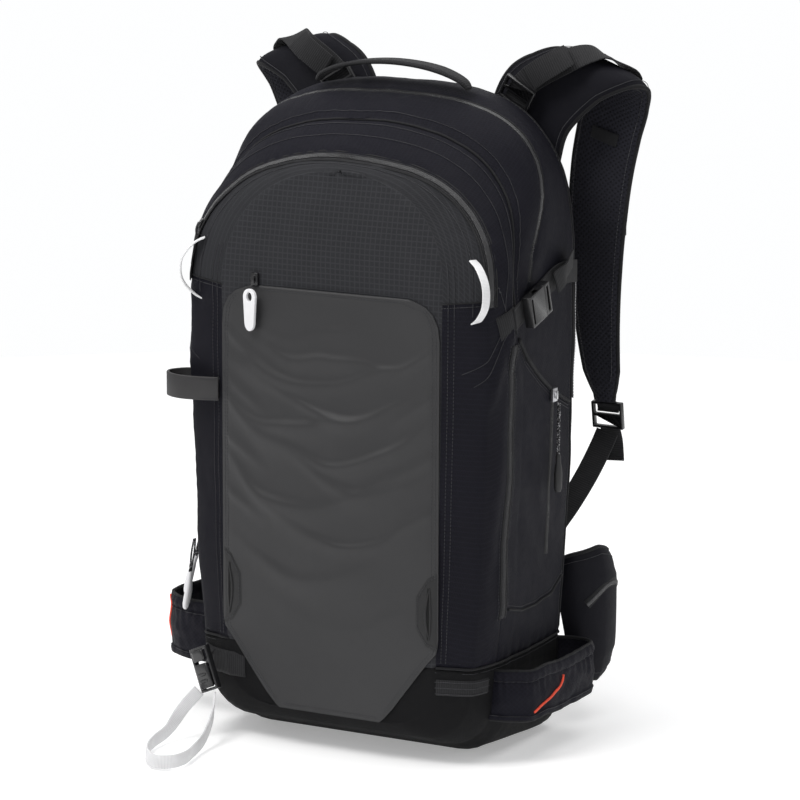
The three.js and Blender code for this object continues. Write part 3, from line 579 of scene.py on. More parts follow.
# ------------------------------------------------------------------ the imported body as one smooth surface
# Stations of the body from its front seam to its back face, as in the CAD, in mm.
STATIONS = [
    # y, lean, half, base, bottom, corner, shoulder, top, power
    (-87.5, 14, 109, 104, 34, 40, 405, 508, 2.3),
    (-74.5, 17, 148, 134, 20, 46, 410, 519, 2.3),
    (-47, 24, 154, 140, 10, 46, 420, 549, 2.45),
    (-22, 38, 154, 140, 0, 44, 438, 568, 3.2),
    (30, 10, 152.5, 138, 0, 32, 430, 575, 2.9),
    (78, 0, 149, 135, 0, 22, 420, 571, 2.7),
    (87.5, 0, 143, 130, 4, 22, 420, 563, 2.7),
]
FRONT_Q, TOOL_Q, SECOND_Q, MAIN_Q, CROWN_Q, EDGE_Q, BACK_Q = range(7)
BASE_SEAM = 88.0
RING_COUNTS = (7, 8, 4, 56, 58)  # bottom, corner, up to the base seam, side, top arc


def station(q):
    """Station values at a position between stations, monotone between them."""
    q = min(max(q, 0.0), 6.0)
    i = min(int(q), 5)
    w = q - i
    rows = np.array(STATIONS, float)
    a, b = rows[i], rows[i + 1]
    before, after = rows[max(i - 1, 0)], rows[min(i + 2, 6)]
    ya, yb = a[0], b[0]
    span = yb - ya
    slope = (b - a) / span
    slope_in = (a - before) / max(a[0] - before[0], 1e-6) if i > 0 else slope
    slope_out = (after - b) / max(after[0] - b[0], 1e-6) if i < 5 else slope
    ma = np.where(slope * slope_in > 0, 2 * slope * slope_in / (slope + slope_in + 1e-12), 0.0)
    mb = np.where(slope * slope_out > 0, 2 * slope * slope_out / (slope + slope_out + 1e-12), 0.0)
    if i == 0:
        ma = slope * 1.3
    if i == 5:
        mb = slope * 1.5
    h00, h10 = 2 * w ** 3 - 3 * w ** 2 + 1, w ** 3 - 2 * w ** 2 + w
    h01, h11 = -2 * w ** 3 + 3 * w ** 2, w ** 3 - w ** 2
    out = h00 * a + h10 * span * ma + h01 * b + h11 * span * mb
    out[0] = ya + span * w
    return out


def lean_share(z):
    t = np.clip((z - 400.0) / 120.0, 0, 1)
    return t * t * (3 - 2 * t)


def half_ring(values):
    """Points (x, y, z) of the right half of one station from the bottom centre to the crown."""
    counts = RING_COUNTS
    y, lean, half, base, bottom, corner, shoulder, top, power = values
    pts = [(x, bottom) for x in np.linspace(0, base - corner, counts[0], endpoint=False)]
    for a in np.linspace(0, math.pi / 2, counts[1], endpoint=False):
        pts.append((base - corner * (1 - math.sin(a)), bottom + corner * (1 - math.cos(a))))
    low = bottom + corner

    def wall(z):
        t = (z - low) / (shoulder - low)
        return base + (half - base) * (1 - (1 - t) ** 2.2)

    pts += [(wall(z), z) for z in np.linspace(low, BASE_SEAM, counts[2], endpoint=False)]
    pts += [(wall(z), z) for z in np.linspace(BASE_SEAM, shoulder, counts[3], endpoint=False)]
    for a in np.linspace(0, math.pi / 2, counts[4]):
        c, s = max(math.cos(a), 0.0), max(math.sin(a), 0.0)
        pts.append((half * c ** (2 / power), shoulder + (top - shoulder) * s ** (2 / power)))
    pts = np.array(pts)
    ys = y + lean * lean_share(pts[:, 1])
    return np.stack([pts[:, 0], ys, pts[:, 1]], 1)


def even_top(ring):
    """Spreads the points of the crown arc evenly along it."""
    start = sum(RING_COUNTS[:4])
    arc = ring[start:]
    s = lengths(arc)
    at = np.linspace(0, s[-1], len(arc))
    ring[start:] = np.stack([np.interp(at, s, arc[:, k]) for k in range(3)], 1)
    return ring


def full_ring(q):
    right = even_top(half_ring(station(q)))
    left = right[1:-1][::-1] * (-1, 1, 1)
    return np.vstack([right, left])


HALF = sum(RING_COUNTS)
FULL = 2 * HALF - 2
SEAM_J = sum(RING_COUNTS[:3])  # index of the base seam on the right


def seam_dip(distance, width, depth):
    return -depth * np.exp(-(distance / width) ** 2)


def fold(p, centre, direction, length, width, height):
    """One soft ridge in the fabric: a line of some length from a centre along a direction."""
    d = np.asarray(p) - centre
    direction = unit(np.asarray(direction, float))
    s = d @ direction
    off = np.linalg.norm(d - s[..., None] * direction, axis=-1)
    return height * np.exp(-(off / width) ** 2) * np.exp(-np.abs(s / length) ** 3)


def soft_noise(points, scale, seed):
    return np.array([noise.noise(Vector((x / scale + seed, y / scale, z / scale))) for x, y, z in points])


def smooth_step(x, low, high):
    t = np.clip((x - low) / (high - low), 0, 1)
    return t * t * (3 - 2 * t)


Q_STEPS = [(0, 1, 10), (1, 2, 12), (2, 3, 10), (3, 4, 18), (4, 5, 14), (5, 6, 6)]
QS = np.concatenate([np.linspace(a, b, n, endpoint=False) for a, b, n in Q_STEPS] + [[6.0]])


def wall_surface():
    rings = np.array([full_ring(q) for q in QS])
    du = np.gradient(rings, axis=0)
    dv = (np.roll(rings, -1, 1) - np.roll(rings, 1, 1)) / 2
    normal = unit(np.cross(dv, du))
    centre = np.array([0, 10.0, 280.0])
    flip = np.sign(((rings - centre) * normal).sum(-1, keepdims=True))
    return rings, normal * np.where(flip == 0, 1, flip)


RINGS, RING_NORMALS = wall_surface()


def wall_drape():
    """How far the cloth of the walls stands off the smooth surface, in mm."""
    q = np.repeat(QS[:, None], FULL, 1)
    x, y, z = RINGS[..., 0], RINGS[..., 1], RINGS[..., 2]
    flat = RINGS.reshape(-1, 3)
    lump = soft_noise(flat, 55.0, 3.1).reshape(x.shape) * 1.5
    lump += soft_noise(flat * (1, 1, 0.55), 21.0, 8.4).reshape(x.shape) * 0.8
    lump += soft_noise(flat * (1, 1, 0.8), 8.0, 5.7).reshape(x.shape) * 0.25
    out = lump * smooth_step(z, 10, 60)
    arch = smooth_step(z, 380, 440)
    for at, width, depth in ((FRONT_Q, 0.13, 1.0), (TOOL_Q, 0.12, 1.2), (SECOND_Q, 0.10, 1.8),
                             (MAIN_Q, 0.07, 1.6)):
        out += seam_dip(q - at, width, depth) * (0.25 + 0.75 * arch)
    out += seam_dip(q - EDGE_Q, 0.05, 1.2)
    out += seam_dip(z - BASE_SEAM, 3.0, 1.1)
    for low, high, bulge in ((1, 2, 2.2), (2, 3, 1.6), (3, 5, 2.2)):
        t = np.clip((q - low) / (high - low), 0, 1)
        out += arch * bulge * np.sin(math.pi * t) ** 0.8
    pucker = np.cos(2 * math.pi * (z + x * 0.6) / 11.0 + 2.5 * lump)
    near = np.zeros_like(q)
    for at in (TOOL_Q, SECOND_Q, MAIN_Q):
        near += np.exp(-((q - at - 0.16) / 0.16) ** 2)
    out += 0.34 * pucker * near
    out += 0.5 * np.cos(2 * math.pi * (x + y) / 13.0 + 3 * lump) * np.exp(-((z - BASE_SEAM - 7) / 6.0) ** 2)
    for side in (1, -1):
        s = np.array([side, 1, 1])
        pull = np.array([154.0, -52, 388]) * s
        folds = [
            (pull + np.array([0, 8, -26]) * s, (0.05 * side, 0.5, -1), 46, 6.5, 2.6),
            (pull + np.array([-3, -8, -30]) * s, (0, -0.42, -1), 52, 7.5, 3.0),
            (pull + np.array([0, 30, -34]) * s, (0, 1, -1.1), 40, 7.0, 2.0),
            (pull + np.array([-4, -2, 34]) * s, (0, -0.15, 1), 40, 8.0, 2.4),
            (pull + np.array([0, 34, 36]) * s, (0, 1, 0.9), 38, 9.0, 2.0),
            (np.array([150.0, 10, 240]) * s, (0, 0.5, -1), 70, 11.0, 1.8),
            (np.array([150.0, -62, 250]) * s, (0, 0.1, 1), 120, 8.0, 1.6),
            (np.array([146.0, 30, 150]) * s, (0, 0.8, -1), 60, 10.0, 2.0),
            (np.array([144.0, -20, 125]) * s, (0, 1, -0.5), 60, 7.0, 1.8),
            (np.array([130.0, 0, 520]) * s, (0.6 * side, 0.2, -1), 36, 8.0, 1.8),
        ]
        for centre, direction, length, width, height in folds:
            out += fold(RINGS, centre, direction, length, width, height)
    return out


WALL_DRAPE = wall_drape()
WALL = (RINGS + RING_NORMALS * (WALL_DRAPE[..., None] + 0.3)) * MM
WALL_U = np.array([lengths(ring) for ring in RINGS])  # round each ring
WALL_V = np.concatenate([np.zeros((1, FULL)),
                         np.cumsum(np.linalg.norm(np.diff(RINGS, axis=0), axis=2), 0)])  # front to back
WALL_UV = np.stack([WALL_U, WALL_V], -1) * MM


def on_wall(q, lift=0.0, above=-1e9, side=None):
    """The line of one station on the cloth, from the right over the crown to the left: points and normals.

    lift and above are in mm; side keeps the right or the left half.
    """
    low = min(int(np.searchsorted(QS, q, side="right") - 1), len(QS) - 2)
    w = (q - QS[low]) / (QS[low + 1] - QS[low])
    p = WALL[low] * (1 - w) + WALL[low + 1] * w
    n = unit(RING_NORMALS[low] * (1 - w) + RING_NORMALS[low + 1] * w)
    keep = p[:, 2] > above * MM
    if side == "right":
        keep &= p[:, 0] > 0
    if side == "left":
        keep &= p[:, 0] < 0
    p, n = p[keep], n[keep]
    return p + n * lift * MM, n


def wall_band(rows, columns):
    """Faces of the wall grid for a range of rows and a list of column indices that follow each other."""
    faces = []
    for i in rows:
        for a, b in zip(columns[:-1], columns[1:]):
            faces.append((i * FULL + a, i * FULL + b, (i + 1) * FULL + b, (i + 1) * FULL + a))
    return faces


# ring indices above and below the base seam
UPPER = list(range(SEAM_J, FULL - SEAM_J + 1))
LOWER = list(range(FULL - SEAM_J, FULL)) + list(range(0, SEAM_J + 1))


def front_y(x, z):
    """The smooth front face at points in mm: it leans back above the shoulders and bulges by 8 mm."""
    across = np.maximum(0, 1 - (x / 109.0) ** 2)
    along = np.maximum(0, 1 - ((z - 215.0) / 190.0) ** 2)
    return -87.5 + 14 * lean_share(z) - 8.0 * across * along


def front_row(j, columns):
    """One row of the front face between the two front seams, in mm."""
    x1, _, z1 = RINGS[0, j]
    xs, zs = np.linspace(-1, 1, columns) * x1, np.full(columns, z1)
    return np.stack([xs, front_y(xs, zs), zs], 1)


FRONT_COLUMNS = 72


def front_points(first, last):
    """The front face from one ring index to another, with its soft lumps; metres and UV in metres."""
    rows = np.array([front_row(j, FRONT_COLUMNS) for j in range(first, last)])
    flat = rows.reshape(-1, 3)
    lump = soft_noise(flat, 60.0, 1.3).reshape(rows.shape[:2]) * 1.6
    lump += soft_noise(flat, 20.0, 4.4).reshape(rows.shape[:2]) * 0.5
    z = rows[..., 2]
    x = rows[..., 0]
    belly = (3.2 * smooth_step(z, 405, 450) * np.maximum(0, 1 - (x / 105) ** 2)
             * smooth_step(508 - z, 0, 40))
    edge = np.abs(x) / np.maximum(np.abs(rows[:, -1:, 0]), 1e-6)
    rows[..., 1] -= (lump + belly) * smooth_step(1 - edge, 0, 0.12)
    rows[:, 0] = WALL[0, [(FULL - j) % FULL for j in range(first, last)]] / MM
    rows[:, -1] = WALL[0, first:last] / MM
    return rows * MM, np.stack([rows[..., 0], rows[..., 2]], -1) * MM


def body_pieces():
    """The front pocket, the main shell and the base tub as sewn cloth with real thickness."""
    second = int(np.argmin(np.abs(QS - SECOND_Q)))

    def front_into(bag, first, last):
        rows, uv = front_points(first, last)
        faces = grid_faces(len(rows), FRONT_COLUMNS)
        bag.put(rows.reshape(-1, 3), faces, [tuple(t) for t in uv.reshape(-1, 2)])
        return len(faces)

    def wall_into(bag, rows, columns):
        bag.put(WALL.reshape(-1, 3), wall_band(rows, columns), [tuple(t) for t in WALL_UV.reshape(-1, 2)])

    # front pocket
    bag = Bag()
    front_faces = front_into(bag, SEAM_J, HALF - 1)
    wall_into(bag, range(0, second), UPPER)
    pocket = bag.piece("front_pocket_cloth", "pack", ["front", "side"], replaces=["tool_pocket"],
                       slot="front_fabric")
    split_pocket(pocket, front_faces)
    # main shell: a partition behind the pocket, the walls and the rim round the back panel
    bag = Bag()
    partition = np.array([front_row(j, 24) for j in range(SEAM_J, HALF - 1)])
    scale = RINGS[second, SEAM_J:HALF - 1, 0][:, None] / np.maximum(partition[:, -1:, 0], 1e-6)
    partition[..., 0] *= scale
    partition[..., 2] = RINGS[second, SEAM_J:HALF - 1, 2][:, None]
    partition[..., 1] = RINGS[second, SEAM_J:HALF - 1, 1][:, None]
    partition[:, 0] = WALL[second, [FULL - j for j in range(SEAM_J, HALF - 1)]] / MM
    partition[:, -1] = WALL[second, SEAM_J:HALF - 1] / MM
    bag.put(partition.reshape(-1, 3) * MM, grid_faces(partition.shape[0], 24))
    wall_into(bag, range(second, len(QS) - 1), UPPER)
    bag.put(*back_rim())
    shell = bag.piece("main_shell_cloth", "pack", "side", replaces=["main_shell"], slot="outer_fabric")
    finish_cloth(shell)
    finish_cloth(pocket)
    # base tub
    bag = Bag()
    front_into(bag, RING_COUNTS[0], SEAM_J + 1)
    wall_into(bag, range(0, len(QS) - 1), LOWER)
    back = WALL[-1]
    width = 16
    verts = []
    for j in range(0, SEAM_J + 1):
        right, left = back[j], back[(FULL - j) % FULL]
        verts += [left + (right - left) * t for t in np.linspace(0, 1, width)]
    bag.put(verts, grid_faces(SEAM_J + 1, width))
    base = bag.piece("base_tub_cloth", "pack", "base", replaces=["base_panel"], slot="outer_fabric")
    finish_cloth(base)


def split_pocket(piece, front_faces):
    """Charcoal on the pocket's front face and its arch up to the zip; dark on the walls below."""
    columns = len(UPPER) - 1
    shoulder = RING_COUNTS[3]
    for polygon in piece.data.polygons:
        row, column = divmod(polygon.index - front_faces, columns)
        arch = row < Q_STEPS[0][2] and shoulder <= column < columns - shoulder
        polygon.material_index = 0 if polygon.index < front_faces or arch else 1


def finish_cloth(piece):
    """Welds the seams, turns the faces outwards and gives the cloth its thickness."""
    work = bmesh.new()
    work.from_mesh(piece.data)
    bmesh.ops.delete(work, geom=[v for v in work.verts if not v.link_faces], context="VERTS")
    bmesh.ops.remove_doubles(work, verts=work.verts, dist=0.00008)
    bmesh.ops.recalc_face_normals(work, faces=work.faces)
    work.to_mesh(piece.data)
    work.free()
    centre = Vector((0, 0.01, 0.25))
    score = sum((p.center - centre).dot(p.normal) * p.area for p in piece.data.polygons)
    if score < 0:
        piece.data.flip_normals()
    solidify(piece, 2.4 * MM)
    piece.data.shade_smooth()


DOOR = {"half": 127, "low": 170, "top": 546.5, "corner": 14, "shoulder": 410, "power": 2.6}


def door_outline(grow=0.0, spec=DOOR):
    """(x, z) round a panel with a flat rounded foot and a superellipse top, in mm."""
    half, low, top = spec["half"] + grow, spec["low"] - grow, spec["top"] + grow
    corner, shoulder, power = spec["corner"], spec["shoulder"], spec["power"]
    right = []
    for a in np.linspace(0, math.pi / 2, 8):
        right.append((half - corner * (1 - math.sin(a)), low + corner * (1 - math.cos(a))))
    for z in np.linspace(low + corner, shoulder, 14)[1:]:
        right.append((half, z))
    for a in np.linspace(0, math.pi / 2, 26)[1:]:
        c, s = max(math.cos(a), 0.0), math.sin(a)
        right.append((half * c ** (2 / power), shoulder + (top - shoulder) * s ** (2 / power)))
    left = [(-x, z) for x, z in right[:-1]][::-1]
    return right + left


def back_rim():
    """The flat back face of the shell round the opening for the back panel."""
    work = bmesh.new()
    outer = [Vector(WALL[-1][j]) for j in UPPER]
    inner = [Vector((x * MM, 0.0875, z * MM)) for x, z in door_outline(1.5)]
    loops = []
    for points in (outer, inner):
        verts = [work.verts.new(p) for p in points]
        loops.append([work.edges.new((a, b)) for a, b in zip(verts, verts[1:] + verts[:1])])
    bmesh.ops.triangle_fill(work, edges=loops[0] + loops[1], use_beauty=True)
    work.verts.index_update()
    verts = [tuple(v.co) for v in work.verts]
    faces = [tuple(v.index for v in f.verts) for f in work.faces]
    work.free()
    return verts, faces


body_pieces()


# ------------------------------------------------------------------ the coated lower front
def panel_half(z):
    """Half width of the coated panel at a height, in mm."""
    z_at = [33, 36, 46, 92, 101, 112, 372, 385, 395, 401, 405, 407]
    width = [50, 54, 63, 98, 106, 107.6, 107.6, 106, 101, 94, 84, 76]
    return np.interp(z, z_at, width)


PANEL_FOLDS = [
    # height at the middle, rise towards the sides, offset of the middle, half length, width, height
    (366, 10, -30, 52, 6.0, 1.2), (344, 26, 10, 74, 5.0, 2.2), (326, 30, -22, 84, 7.0, 3.0),
    (300, 40, 16, 80, 5.5, 2.6), (284, 44, -26, 70, 6.5, 2.8), (256, 54, 2, 96, 7.0, 3.6),
    (236, 50, 34, 56, 6.0, 2.0), (214, 60, -20, 76, 8.5, 3.2), (184, 66, 12, 84, 7.5, 2.4),
    (152, 60, -18, 70, 10.0, 1.9), (112, 44, 14, 60, 12.0, 1.2),
]


def panel_drape(x, z):
    """Broad smile-shaped folds in the coated fabric, in mm."""
    wander = np.array([noise.noise(Vector((a / 46.0, b / 60.0, 2.2))) for a, b in zip(x, z)])
    out = np.zeros_like(x)
    for k, (z0, rise, x0, reach, width, height) in enumerate(PANEL_FOLDS):
        s = (x - x0) / 108.0
        middle = z0 + rise * np.abs(s) ** 1.7 + wander * 9 + 3.0 * np.sin(s * 5 + k * 1.7)
        d = z - middle
        grow = width * (1 + 0.25 * np.sin(x / 30.0 + k * 2.1))
        shape = np.exp(-(np.where(d > 0, d / (grow * 0.62), d / (grow * 1.35))) ** 2)
        fade = np.exp(-np.abs((x - x0) / reach) ** 4) * (0.72 + 0.28 * np.sin(x / 24.0 + k * 2.4))
        out += 1.1 * height * shape * fade
    for side in (1, -1):
        for z0, slope, height in ((352, 0.75, 1.6), (312, 0.7, 1.8), (262, 0.6, 1.7), (214, 0.55, 1.5)):
            d = (z - z0) - slope * (x * side - 84)
            out += (height * np.exp(-(d / 6.0) ** 2) * smooth_step(x * side, 52, 84)
                    * smooth_step(112 - x * side, 0, 14))
    return out + wander * 1.1


PANEL_LOW, PANEL_TOP = 33, 407


def panel_y(x, z):
    """The panel's outer face at points in mm: raised off the front, draped, and flat at its edges."""
    inside = (smooth_step(1 - np.abs(x) / panel_half(z), 0.0, 0.10) * smooth_step(z, PANEL_LOW, 52)
              * smooth_step(PANEL_TOP - z, 0, 12))
    return front_y(x, z) - (1.7 + 0.6 * inside + panel_drape(x, z) * inside)


def front_panel():
    rows, columns = 190, 110
    grid, uv = [], []
    for z in np.linspace(PANEL_LOW, PANEL_TOP, rows):
        # columns lie closer together towards the sides
        spread = np.sin(np.linspace(-1, 1, columns) * math.pi / 2 * 0.86) / math.sin(math.pi / 2 * 0.86)
        xs, z_row = spread * panel_half(z), np.full(columns, z)
        grid.append(np.stack([xs, panel_y(xs, z_row), z_row], 1))
        uv += list(zip(xs * MM, z_row * MM))
    grid = np.array(grid)
    piece = make("front_panel_cloth", grid.reshape(-1, 3) * MM, grid_faces(rows, columns), "pack", "panel",
                 uv=uv, replaces=["front_panel"], slot="coated_fabric")
    recalc(piece)
    if piece.data.polygons[rows * columns // 2].normal.y > 0:
        piece.data.flip_normals()
    solidify(piece, 1.5 * MM)


front_panel()


def panel_point(x, z, lift=0.0):
    """A point in metres, lift mm off the panel's outer face."""
    y = panel_y(np.array([float(x)]), np.array([float(z)])) - lift
    return np.array([x, float(y[0]), z]) * MM


def panel_edges():
    """Stitching just inside the panel's edge, and its two tabs with hand slits."""
    threads, tabs, cords, slits = Bag(), Bag(), Bag(), Bag()

    def sew(path):
        stitches_into(threads, path, np.tile((0.0, -1.0, 0.0), (len(path), 1)))

    for side in (1, -1):
        for inset in (3.0, 6.0):
            sew([panel_point(side * (panel_half(z) - inset), z, 0.15) for z in np.linspace(40, 398, 180)])
    sew([panel_point(x, 403.6 - max(0, abs(x) - 70) * 0.35, 0.2) for x in np.linspace(-84, 84, 80)])
    sew([panel_point(x, 37.0, 0.2) for x in np.linspace(-46, 46, 50)])
    for side in (1, -1):
        outline = [(106.5, 172), (98, 167), (87.5, 150), (87.5, 122), (97, 107), (106.5, 103)]
        dense = resample(np.array([(x * side, 0, z) for x, z in outline]), 2.0)
        centre = np.array([99.0 * side, 137.0])
        ring = [(p[0], p[2]) for p in dense]
        closed = ring + [(106.5 * side, z) for z in np.linspace(103, 172, 30)[1:-1]]
        verts, rows = [], 5
        for k in range(rows):
            share = 1 - 0.24 * k
            for x, z in closed:
                px, pz = centre[0] + (x - centre[0]) * share, centre[1] + (z - centre[1]) * share
                verts.append(panel_point(px, pz, 0.9 if k else 0.15))
        faces = grid_faces(rows, len(closed), wrap=True)
        faces.append(tuple(range((rows - 1) * len(closed), rows * len(closed))))
        tabs.put(verts, faces)
        inner = resample(np.array([(centre[0] + (x - centre[0]) * 0.84, 0, centre[1] + (z - centre[1]) * 0.9)
                                   for x, z in ring]), 2.0)
        sew([panel_point(p[0], p[2], 0.95) for p in inner])
        # the slit: two rolled lips with a dark gap between them; the gap is a dark sheet of painted shade
        steps = np.linspace(0, 1, 26)
        for shift, radius in ((-3.6, 1.25), (0.6, 1.1)):
            lip = [panel_point((100.5 + shift * math.sin(math.pi * t)) * side, 113 + 46 * t, 0.9)
                   for t in steps]
            tube_into(cords, lip, np.array([radius * math.sin(math.pi * min(max(t, 0.04), 0.96)) ** 0.4 * MM
                                            for t in steps]))
        # a near-black sheet between the lips: painted shade for the depth of the slit
        slit = []
        for t in steps:
            half = 1.7 * math.sin(math.pi * min(max(t, 0.02), 0.98)) ** 0.5
            slit += [panel_point((99.0 + w * half) * side, 113 + 46 * t, 1.05) for w in (-1, 1)]
        slits.put(slit, grid_faces(26, 2))
    slits.piece("panel_slit_shade", "pack", "void")
    threads.piece("panel_stitching", "pack", "thread")
    tabs.piece("panel_tabs", "pack", "patch")
    cords.piece("panel_slit_lips", "pack", "patch")


panel_edges()


# ------------------------------------------------------------------ seams, piping and zips on the body
def band_on(q, half_mm, lift, above):
    """A tape that follows one station over the crown: vertices, faces, UV, middle line, normals, cross."""
    columns = 9
    centre, normal = on_wall(q, lift, above)
    n = min(len(on_wall(at, lift, above)[0]) for at in (q, min(q + 0.05, 6.0), max(q - 0.05, 0.0)))
    centre, normal = centre[:n], normal[:n]
    cross = unit(np.cross(tangents(centre), normal))
    along = lengths(centre)
    verts, uv = [], []
    for i in range(n):
        for s in np.linspace(-1, 1, columns):
            rise = (1 - abs(s) ** 4) * 0.6 - 0.5
            verts.append(centre[i] + cross[i] * s * half_mm * MM + normal[i] * rise * MM)
            uv.append((s * half_mm * MM, along[i]))
    return verts, grid_faces(n, columns), uv, centre, normal, cross


def arch_zip(name, q, half_mm, above, tooth_width, lift, replaces):
    """A zip along one station: folded tape edges with the coil between them."""
    tape, coil, threads = Bag(), Bag(), Bag()
    verts, faces, uv, centre, normal, cross = band_on(q, half_mm, lift, above)
    tape.put(verts, faces, uv)
    for s in (-1, 1):
        rim = centre + cross * s * (half_mm - 0.4) * MM + normal * 0.1 * MM
        tube_into(tape, rim, 0.75 * MM, sides=6)
        row = centre + cross * s * (half_mm - 2.2) * MM
        stitches_into(threads, row, normal, lift=0.15 * MM)
    coil_into(coil, centre, normal, tooth_width * MM, height=0.95 * MM, lift=0.05 * MM)
    recalc(tape.piece(name, "pack", "tape", replaces=replaces, slot="zip_tape"))
    coil.piece(name + "_coil", "pack", "teeth")
    threads.piece(name + "_stitching", "pack", "thread")


arch_zip("tool_zip", TOOL_Q, 6.0, 400, 5.0, 1.3, ["tool_zipper"])
arch_zip("main_zip", MAIN_Q, 4.0, 418, 4.2, 1.1, ["main_zipper"])


def seam_work():
    """Piping on the second arch, the back edge and the base seam, and rows of stitches beside the seams."""
    piping, threads = Bag(), Bag()
    tube_into(piping, on_wall(SECOND_Q, 0.5, 374)[0], 1.25 * MM)
    for shift in (-0.17, 0.2):
        stitches_into(threads, *on_wall(SECOND_Q + shift, 0.25, 374))
    tube_into(piping, on_wall(EDGE_Q, 0.4, 92)[0], 1.2 * MM)
    stitches_into(threads, *on_wall(EDGE_Q - 0.12, 0.25, 92))
    for shift in (0.10, 0.20):
        for side in ("right", "left"):
            row, up = on_wall(FRONT_Q + shift, 0.25, 92, side)
            keep = row[:, 2] < 0.44
            stitches_into(threads, row[keep], up[keep])
    for shift in (-0.22, 0.24):
        stitches_into(threads, *on_wall(TOOL_Q + shift * 2.2, 0.25, 395))
    seam, seam_n = WALL[:, SEAM_J], RING_NORMALS[:, SEAM_J]
    for mirror in (1, -1):
        flip = np.array([mirror, 1, 1])
        tube_into(piping, seam * flip + seam_n * flip * 0.5 * MM, 1.2 * MM)
        for dz in (-4.0, 4.5):
            shifted = seam * flip + np.array([0, 0, dz * MM]) + seam_n * flip * 0.5 * MM
            stitches_into(threads, shifted, seam_n * flip)
    # the short seam at each shoulder, where the pocket's arch meets its side
    shoulder = SEAM_J + RING_COUNTS[3]
    for index in (shoulder, FULL - shoulder):
        across = WALL[:Q_STEPS[0][2] + 1, index]
        across_n = RING_NORMALS[:Q_STEPS[0][2] + 1, index]
        tube_into(piping, across + across_n * 0.2 * MM, 0.7 * MM, sides=6)
        stitches_into(threads, across + across_n * 0.3 * MM - np.array([0, 0, 3.5 * MM]), across_n)
    recalc(piping.piece("seam_piping", "pack", "binding"))
    threads.piece("seam_stitching", "pack", "thread")


seam_work()


def wall_point(q, z, side, lift=0.0):
    """A point and normal on the side wall at a station and height (z in mm)."""
    ring, normals = on_wall(q, 0.0, 60, "right")
    order = np.argsort(ring[:, 2])
    r, n = ring[order], normals[order]
    top = int(np.argmax(r[:, 2] > 0.42)) or len(r)
    r, n = r[:top], n[:top]
    p = np.array([np.interp(z * MM, r[:, 2], r[:, k]) for k in range(3)])
    m = unit(np.array([np.interp(z * MM, r[:, 2], n[:, k]) for k in range(3)]))
    p = p + m * lift * MM
    s = np.array([side, 1, 1])
    return p * s, m * s


def wall_q(y):
    return float(np.interp(y, [s[0] for s in STATIONS], range(7)))


def unzip(pairs):
    """Points and normals as two arrays."""
    return np.array([p for p, _ in pairs]), np.array([n for _, n in pairs])


def wall_path(points, side, lift, step=3.0):
    """A line drawn on the side wall through (y, z) points in mm."""
    dense = resample(np.array([(0.0, y, z) for y, z in points]), step)
    return unzip([wall_point(wall_q(y), z, side, lift) for _, y, z in dense])


def tape_on_path(bag, path, normals, half, thick):
    """A crowned tape with its edges turned down into the cloth."""
    columns = 7
    cross = unit(np.cross(tangents(path), normals))
    along = lengths(path)
    verts, uv = [], []
    for i in range(len(path)):
        for s in np.linspace(-1, 1, columns):
            verts.append(path[i] + cross[i] * s * half + normals[i] * thick * (1 - abs(s) ** 4))
            uv.append((s * half, along[i]))
        for edge in (half, -half):
            verts.append(path[i] + cross[i] * edge - normals[i] * 1.2 * MM)
            uv.append((edge, along[i]))
    n = columns + 2
    faces = grid_faces(len(path), n, wrap=True)
    faces += [tuple(range(n)), tuple(range((len(path) - 1) * n, len(path) * n))[::-1]]
    bag.put(verts, faces, uv)


SIDES = (("left", -1), ("right", 1))


def side_zips():
    """The two long side zips, each a double tape with a fine coil."""
    for tag, side in SIDES:
        tape, coil, threads = Bag(), Bag(), Bag()
        path, normals = wall_path([(-46, 129), (-46, 200), (-46, 300), (-46, 368)], side, 0.3)
        tape_on_path(tape, path, normals, 5.2 * MM, 0.7 * MM)
        coil_into(coil, path, normals, 3.6 * MM, height=0.5 * MM, lift=0.4 * MM)
        cross = unit(np.cross(tangents(path), normals))
        for s in (-1, 1):
            stitches_into(threads, path + cross * s * 3.9 * MM, normals, lift=1.1 * MM)
            stitches_into(threads, path + cross * s * 8.5 * MM, normals, lift=0.2 * MM)
            tube_into(tape, path + cross * s * 5.4 * MM, 0.8 * MM, sides=6)
        recalc(tape.piece(f"side_zip_{tag}", "pack", "tape", replaces=[f"side_zipper_{tag}"],
                          slot="zip_tape"))
        coil.piece(f"side_zip_coil_{tag}", "pack", "teeth")
        threads.piece(f"side_zip_stitching_{tag}", "pack", "thread")


side_zips()


# ------------------------------------------------------------------ moulded parts: CAD shapes, rounded edges
def rounded(node, body, material, radius):
    """The CAD part with its edges rounded as they come out of a mould."""
    mesh = NODES[node].data.copy()
    mesh.materials.clear()
    mesh.materials.append(MAT[material])
    piece = bpy.data.objects.new(f"{node}_moulded", mesh)
    bpy.context.collection.objects.link(piece)
    work = bmesh.new()
    work.from_mesh(mesh)
    bmesh.ops.remove_doubles(work, verts=work.verts, dist=0.00002)
    bmesh.ops.dissolve_limit(work, angle_limit=math.radians(2), verts=work.verts, edges=work.edges)
    work.to_mesh(mesh)
    work.free()
    modifier = piece.modifiers.new("edges", "BEVEL")
    modifier.width = radius * MM
    modifier.segments = 3
    modifier.limit_method = "ANGLE"
    modifier.angle_limit = math.radians(35)
    modifier.use_clamp_overlap = True
    apply_modifiers(piece)
    piece.data.shade_smooth()
    piece.data.set_sharp_from_angle(angle=math.radians(40))
    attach(piece, body)
    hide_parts(node)


